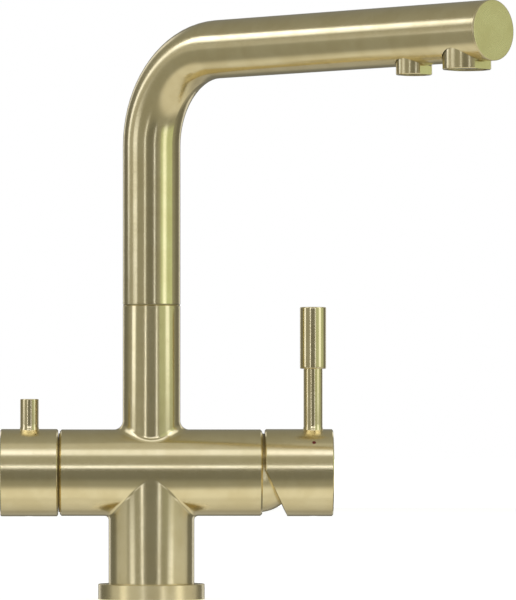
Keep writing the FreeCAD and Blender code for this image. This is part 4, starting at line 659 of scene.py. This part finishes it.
# levers: slim rods polished in the lathe, with sharp narrow lamp lines. Their turning lines, and
# the flange's, are about 0.1 mm wide, drawn here 1.2 mm wide so that they show.
brassLathe = lathedBrass("pvd_brass_lathe_polished_lever",
                         {"line": 1.2, "lineLength": 12.0, "lineRoughness": 0.006, "along": 0.1,
                          "depth": 0.00002, "cloudRoughness": 0.006, "roughness": 0.15})
# flange: turned and satin coated, with softer lamp lines than the tubes
brassFlange = lathedBrass("pvd_brass_turned_flange",
                          {"line": 1.2, "depth": 0.0001, "roughness": 0.25, "along": 0.0,
                           "lineLength": 30.0, "lineRoughness": 0.006,
                           "cloudRoughness": 0.006})
# spout's end: a satin-blasted disc, almost even in tone
brassCap = lathedBrass("pvd_brass_blasted_cap",
                       {"roughness": 0.28, "along": 0.0, "depth": 0.0002})
# dark ring: brown brass, dull, painted shade in the gap in front of the filter handle
brassGapShade = lathedBrass("brass_turned_oxidised_spacer",
                         {"colour": "#86734C", "shade": "#75633F", "roughness": 0.45,
                          "along": 0.0})
print("brass ready")


grainRoughness = 0.05      # how far the grain moves the gloss


def plainFinish(settings):
    # one colour drifting to a second, with a fine grain in the gloss and the relief
    material, tree, output = newMaterial(settings["name"])
    place = addNode(tree, "ShaderNodeTexCoord")
    drift = addNode(tree, "ShaderNodeTexNoise",
                    {"Scale": 1 / (settings["patch"] * mm), "Detail": 3.0},
                    {"Vector": place.outputs["Object"]})
    grain = addNode(tree, "ShaderNodeTexNoise",
                    {"Scale": 1 / (settings["grain"] * mm), "Detail": 2.0},
                    {"Vector": place.outputs["Object"]})
    colour = addNode(tree, "ShaderNodeMix",
                     {"data_type": "RGBA", 6: hexColour(settings["colour"]),
                      7: hexColour(settings["shade"])}, {0: drift.outputs[0]})
    rough = addNode(tree, "ShaderNodeMapRange",
                    {**noiseSpan, "To Min": settings["roughness"] - grainRoughness,
                     "To Max": settings["roughness"] + grainRoughness},
                    {"Value": grain.outputs[0]})
    relief = addNode(tree, "ShaderNodeBump",
                     {"Strength": 1.0, "Distance": settings["depth"] * mm},
                     {"Height": grain.outputs[0]})
    shader = addNode(tree, "ShaderNodeBsdfPrincipled", settings["shader"],
                     {"Base Color": colour.outputs[2], "Roughness": rough.outputs[0],
                      "Normal": relief.outputs[0]})
    tree.links.new(shader.outputs[0], output.inputs["Surface"])
    return material


# patch, grain and depth are in mm. Real grain is mostly finer than 0.1 mm, and it is drawn 0.25
# to 0.8 mm wide so that it shows.
finishes = {
    # turned brass without the coating: yellower, with cutter marks
    "plain_brass": {
        "name": "brass_turned_uncoated", "colour": "#D9BE78", "shade": "#CFB26A",
        "patch": 6.0, "grain": 0.5, "depth": 0.002, "roughness": 0.3,
        "shader": {"Metallic": 1.0},
        "wears": ["cartridge_nut", "filter_valve_body", "filter_spigot", "spout_sleeve",
                  "outlet_block", "filter_tube_socket", "filter_spindle", "cartridge_lever"]},
    # moulded EPDM rubber: soft black, slightly bloomed
    "black_rubber": {
        "name": "epdm_rubber_moulded", "colour": "#1E1E1E", "shade": "#28282A",
        "patch": 5.0, "grain": 0.4, "depth": 0.006, "roughness": 0.62, "shader": {"IOR": 1.5},
        "wears": ["deck_gasket", "cartridge_seals", "filter_valve_seal", "filter_spigot_oring",
                  "spout_orings", "mixed_outlet_washer", "filtered_outlet_washer"]},
    # moulded acetal: off-white, waxy
    "cartridge_plastic": {
        "name": "acetal_injection_moulded", "colour": "#E2E1DB", "shade": "#D8D7CF",
        "patch": 8.0, "grain": 0.6, "depth": 0.003, "roughness": 0.42, "shader": {"IOR": 1.48},
        "wears": ["cartridge_base", "cartridge_housing", "cartridge_turret", "disc_carrier"]},
    # lapped alumina: dense white, nearly polished
    "ceramic": {
        "name": "alumina_lapped", "colour": "#F3F2EC", "shade": "#ECEAE2",
        "patch": 4.0, "grain": 0.3, "depth": 0.0008, "roughness": 0.16, "shader": {"IOR": 1.77},
        "wears": ["fixed_ceramic_disc", "moving_ceramic_disc", "filter_fixed_disc",
                  "filter_moving_disc"]},
    # machined bronze-filled slide ring: a dull tan, half metal, that reads as a soft dark line
    "guide_plastic": {
        "name": "bronze_filled_ring_machined", "colour": "#B3A678", "shade": "#A5986C",
        "patch": 4.0, "grain": 0.4, "depth": 0.002, "roughness": 0.36,
        "shader": {"Metallic": 0.8}, "wears": ["spout_guide_rings"]},
    # moulded grey acetal: a matt grille
    "aerator_plastic": {
        "name": "acetal_grey_moulded", "colour": "#C3C5C4", "shade": "#B7B9B8",
        "patch": 3.0, "grain": 0.35, "depth": 0.002, "roughness": 0.4, "shader": {"IOR": 1.48},
        "wears": ["mixed_outlet_aerator", "filtered_outlet_insert"]},
    # turned steel screws and pin: grey, thinly oiled
    "steel": {
        "name": "steel_turned_oiled", "colour": "#8F8F90", "shade": "#7C7C7E",
        "patch": 2.0, "grain": 0.25, "depth": 0.002, "roughness": 0.34,
        "shader": {"Metallic": 1.0},
        "wears": ["lever_pivot_pin", "mixer_handle_screw", "filter_handle_screw",
                  "spout_retaining_screw"]},
    # extruded polyethylene tube: milky
    "tube_plastic": {
        "name": "polyethylene_extruded", "colour": "#ECEFF0", "shade": "#E3E7E9",
        "patch": 10.0, "grain": 0.8, "depth": 0.003, "roughness": 0.35, "shader": {"IOR": 1.51},
        "wears": ["filtered_water_tube"]},
    # fired enamel in the drilled spot: dark red with a wet gloss
    "temperature_dot": {
        "name": "enamel_red_fired", "colour": "#6E1F16", "shade": "#571510",
        "patch": 0.9, "grain": 0.25, "depth": 0.001, "roughness": 0.22, "shader": {"IOR": 1.5},
        "wears": ["temperature_dot"]},
}

brassWears = {
    brassCasting: ["body_casting"],
    brassSpout: ["spout_tube"],
    brassHandle: ["mixer_handle", "filter_handle"],
    brassOutlet: ["mixed_outlet_housing", "filtered_outlet_housing"],
    brassDome: ["dome_cover"],
}


def dress(names, material):
    for name in names:
        nodes[name].data.materials.clear()
        nodes[name].data.materials.append(material)


madeFinishes = {slot: plainFinish(settings) for slot, settings in finishes.items()}
for slot, settings in finishes.items():
    dress(settings["wears"], madeFinishes[slot])
for material, names in brassWears.items():
    dress(names, material)
print("finishes ready")


turning = {
    "weld": 0.001 * mm,       # points nearer than this are one
    "snap": 0.01 * mm,        # a corner this near to a face lies on it
    "corner": 30,             # degrees, sharper edges are rounded
    "crease": 40,             # degrees, sharper edges stay sharp in the shading
    "rounds": 4,              # steps in a rounded edge
    "support": 2,             # support ring's distance from a corner, in edge widths
}


def withSupports(outline, settings):
    # a ring beside each rounded corner keeps the long faces evenly shaded
    away = settings["edge"] * turning["support"]
    rings = []
    for i, corner in enumerate(outline):
        here = Vector(corner)
        steps = [Vector(outline[i - 1]) - here, Vector(outline[(i + 1) % len(outline)]) - here]
        extra = [tuple(here + step.normalized() * away)
                 if corner[0] > 0 and settings["soft"](*corner) and step.length > away * 2
                 else None for step in steps]
        rings += [ring for ring in (extra[0], corner, extra[1]) if ring]
    return rings


def turnPiece(name, outline, settings, material, body, replaced):
    # outline: (radius, height) in metres, open if both ends lie on the axis, else closed
    outline = withSupports(outline, settings)
    bm = bmesh.new()
    corners = [bm.verts.new((r, 0, h)) for r, h in outline]
    closed = outline[0][0] > 0 or outline[-1][0] > 0
    pairs = list(zip(corners, corners[1:] + corners[:1]))
    for a, b in pairs if closed else pairs[:-1]:
        bm.edges.new((a, b))
    bmesh.ops.spin(bm, geom=bm.verts[:] + bm.edges[:], cent=(0, 0, 0), axis=(0, 0, 1),
                   angle=math.tau, steps=settings["steps"], use_merge=True)
    bmesh.ops.remove_doubles(bm, verts=bm.verts, dist=turning["weld"])
    bmesh.ops.recalc_face_normals(bm, faces=bm.faces)
    sharp = [e for e in bm.edges if len(e.link_faces) == 2
             and e.calc_face_angle() > math.radians(turning["corner"])
             and abs(e.verts[0].co.z - e.verts[1].co.z) < turning["weld"]
             and settings["soft"](math.hypot(*e.verts[0].co.xy), e.verts[0].co.z)]
    bmesh.ops.bevel(bm, geom=sharp, offset=settings["edge"], offset_type="OFFSET",
                    segments=turning["rounds"], profile=0.5, affect="EDGES", material=-1)
    uv = bm.loops.layers.uv.new("lathe")
    for face in bm.faces:
        face.smooth = True
        middle = math.atan2(face.calc_center_median().y, face.calc_center_median().x)
        for loop in face.loops:
            x, y, z = loop.vert.co
            r = math.hypot(x, y)
            turn = math.atan2(y, x) if r > turning["weld"] else middle
            turn += math.tau * round((middle - turn) / math.tau)
            loop[uv].uv = (z - r, turn * settings["meanRadius"])
    bmesh.ops.transform(bm, matrix=settings["place"], verts=bm.verts)
    mesh = bpy.data.meshes.new(name)
    bm.to_mesh(mesh)
    bm.free()
    piece = bpy.data.objects.new(name, mesh)
    mesh.materials.append(material)
    mesh.set_sharp_from_angle(angle=math.radians(turning["crease"]))
    bpy.context.scene.collection.objects.link(piece)
    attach(piece, body)
    if replaced:
        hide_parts(replaced)


def upright(name):
    # a piece's own axis: the middle of its node's box
    low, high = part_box(name)
    return Matrix.Translation(((low.x + high.x) / 2, (low.y + high.y) / 2, 0))


flange = {
    "edge": 0.45 * mm,
    "bay": 17.5 * mm,                              # radius of the hose opening
    "groove": (23.6 * mm, 25.9 * mm, 2.0 * mm),    # gasket groove: inner, outer radius, depth
    "pillar": 22.375 * mm,                         # radius of the pillar's seat
    "lip": 2.0 * mm,                               # thickness under the pillar
    "steps": 160,
}


def makeFlange():
    low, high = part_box("base_flange")
    outer = high.x
    top = high.z
    grooveIn, grooveOut, grooveTop = flange["groove"]
    outline = [(flange["bay"], 0), (grooveIn, 0), (grooveIn, grooveTop), (grooveOut, grooveTop),
               (grooveOut, 0), (outer, 0), (outer, top), (flange["pillar"], top),
               (flange["pillar"], flange["lip"]), (flange["bay"], flange["lip"])]
    turnPiece("baseFlange", outline,
              {"steps": flange["steps"], "edge": flange["edge"], "meanRadius": outer,
               "soft": lambda r, h: r > outer - turning["snap"], "place": Matrix.Identity(4)},
              brassFlange, "tap_body", "base_flange")


endCap = {"edge": 0.4 * mm, "steps": 96}


def makeEndCap():
    low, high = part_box("spout_end_cap")
    arm = Vector(bend["arm"])
    radius = (high.z - low.z) / 2
    middle = (low.z + high.z) / 2
    # the box's far corner lies one radius past the face, and its near one as far before the back
    outer = Vector((high.x, low.y, 0)).dot(arm) - radius
    thick = outer - (Vector((low.x, high.y, 0)).dot(arm) + radius)
    lay = Matrix.Translation(arm * (outer - thick) + Vector((0, 0, middle)))
    turned = lay @ arm.to_track_quat("Z", "Y").to_matrix().to_4x4()
    outline = [(0, 0), (radius, 0), (radius, thick), (0, thick)]
    turnPiece("spoutEndCap", outline,
              {"steps": endCap["steps"], "edge": endCap["edge"], "meanRadius": radius,
               "soft": lambda r, h: h > thick / 2, "place": turned},
              brassCap, "spout", "spout_end_cap")


lever = {
    "steps": 72,
    "thread": 3.0 * mm,            # radius
    "screwed": 8.5 * mm,           # thread's length in the handle
    "stem": 4.95 * mm,             # radius
    "stemEdge": 0.15 * mm,
    "bore": 8.8 * mm,              # depth of the grip's threaded hole
    "gripEdge": 0.55 * mm,
    "foot": 1.0 * mm,              # plain height under the flare
    "flare": 0.4 * mm,             # how far the foot stands out
    "flareHeight": 1.3 * mm,
    "flareBend": (0.45, 0.35),     # a point of the flare, as shares of the two
}


def footOutline(tail, seat, top, radius):
    waist = seat + lever["foot"]
    outBend, upBend = lever["flareBend"]
    return [(0, tail), (lever["thread"], tail), (lever["thread"], seat),
            (radius + lever["flare"], seat),
            (radius + lever["flare"] * outBend, waist + lever["flareHeight"] * upBend),
            (radius, waist + lever["flareHeight"]), (radius, waist + 2 * lever["flareHeight"]),
            (radius, top)]


def makeLever():
    low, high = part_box("lever_stem")
    tail = low.z
    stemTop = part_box("lever_grip")[0].z
    seat = tail + lever["screwed"]
    outline = footOutline(tail, seat, stemTop, lever["stem"]) + [
        (lever["thread"], stemTop), (lever["thread"], high.z), (0, high.z)]
    turnPiece("leverStem", outline,
              {"steps": lever["steps"], "edge": lever["stemEdge"], "meanRadius": lever["stem"],
               "soft": lambda r, h: abs(h - high.z) < turning["snap"],
               "place": upright("lever_stem")},
              brassLathe, "mixer_lever", "lever_stem")
    low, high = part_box("lever_grip")
    radius = (high.x - low.x) / 2
    outline = [(0, low.z + lever["bore"]), (lever["thread"], low.z + lever["bore"]),
               (lever["thread"], low.z), (radius, low.z), (radius, high.z), (0, high.z)]
    turnPiece("leverGrip", outline,
              {"steps": lever["steps"], "edge": lever["gripEdge"], "meanRadius": radius,
               "soft": lambda r, h: r > radius - turning["snap"],
               "place": upright("lever_grip")},
              brassLathe, "mixer_lever", "lever_grip")


pinLever = {"radius": 4.8 * mm, "edge": 0.35 * mm}


def makePinLever():
    low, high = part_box("filter_pin_lever")
    seat = low.z + lever["screwed"]
    outline = footOutline(low.z, seat, high.z, pinLever["radius"]) + [(0, high.z)]
    turnPiece("filterPinLever", outline,
              {"steps": lever["steps"], "edge": pinLever["edge"],
               "meanRadius": pinLever["radius"],
               "soft": lambda r, h: abs(h - high.z) < turning["snap"],
               "place": upright("filter_pin_lever")},
              brassLathe, "filter_lever", "filter_pin_lever")


slideWasher = {"inner": 12.05 * mm, "edge": 0.12 * mm, "steps": 120}


def makeSlideWasher():
    low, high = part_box("neck_slide_washer")
    outline = [(slideWasher["inner"], low.z), (high.x, low.z), (high.x, high.z),
               (slideWasher["inner"], high.z)]
    turnPiece("neckSlideWasher", outline,
              {"steps": slideWasher["steps"], "edge": slideWasher["edge"], "meanRadius": high.x,
               "soft": lambda r, h: r > high.x - turning["snap"], "place": Matrix.Identity(4)},
              madeFinishes["guide_plastic"], "tap_body", "neck_slide_washer")


# painted shade: a dark ring standing where the gap shows only shade
filterSpacer = {"inner": 11.0 * mm, "outer": 20.5 * mm, "thick": 0.65 * mm,
                "edge": 0.1 * mm, "steps": 120}


def makeGapShadeRing():
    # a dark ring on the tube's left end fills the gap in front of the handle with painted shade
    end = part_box("body_casting")[0].x
    place = (Matrix.Translation((end, 0, tubeHeight))
             @ Matrix.Rotation(math.radians(-90), 4, "Y"))
    inner = filterSpacer["inner"]
    outer = filterSpacer["outer"]
    thick = filterSpacer["thick"]
    turnPiece("filterSpacer", [(inner, 0), (outer, 0), (outer, thick), (inner, thick)],
              {"steps": filterSpacer["steps"], "edge": filterSpacer["edge"],
               "meanRadius": outer, "place": place,
               "soft": lambda r, h: r > outer - turning["snap"] and h > thick / 2},
              brassGapShade, "tap_body", None)


makeFlange()
makeEndCap()
makeGapShadeRing()
makeLever()
makePinLever()
makeSlideWasher()
print("turned pieces ready")

# each piece joins the group that its soft boxes light; the handles are in two
spoutShapes = ("spout_tube", "spoutEndCap", "mixed_outlet_housing", "filtered_outlet_housing")
for item in bpy.context.scene.objects:
    if item.type == "MESH" and item.get("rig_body"):
        group = ("spout" if item.name in spoutShapes
                 else "flange" if item.name == "baseFlange" else "fixed")
        litBy[group].objects.link(item)
for name in ("mixer_handle", "filter_handle"):
    litBy["handles"].objects.link(nodes[name])
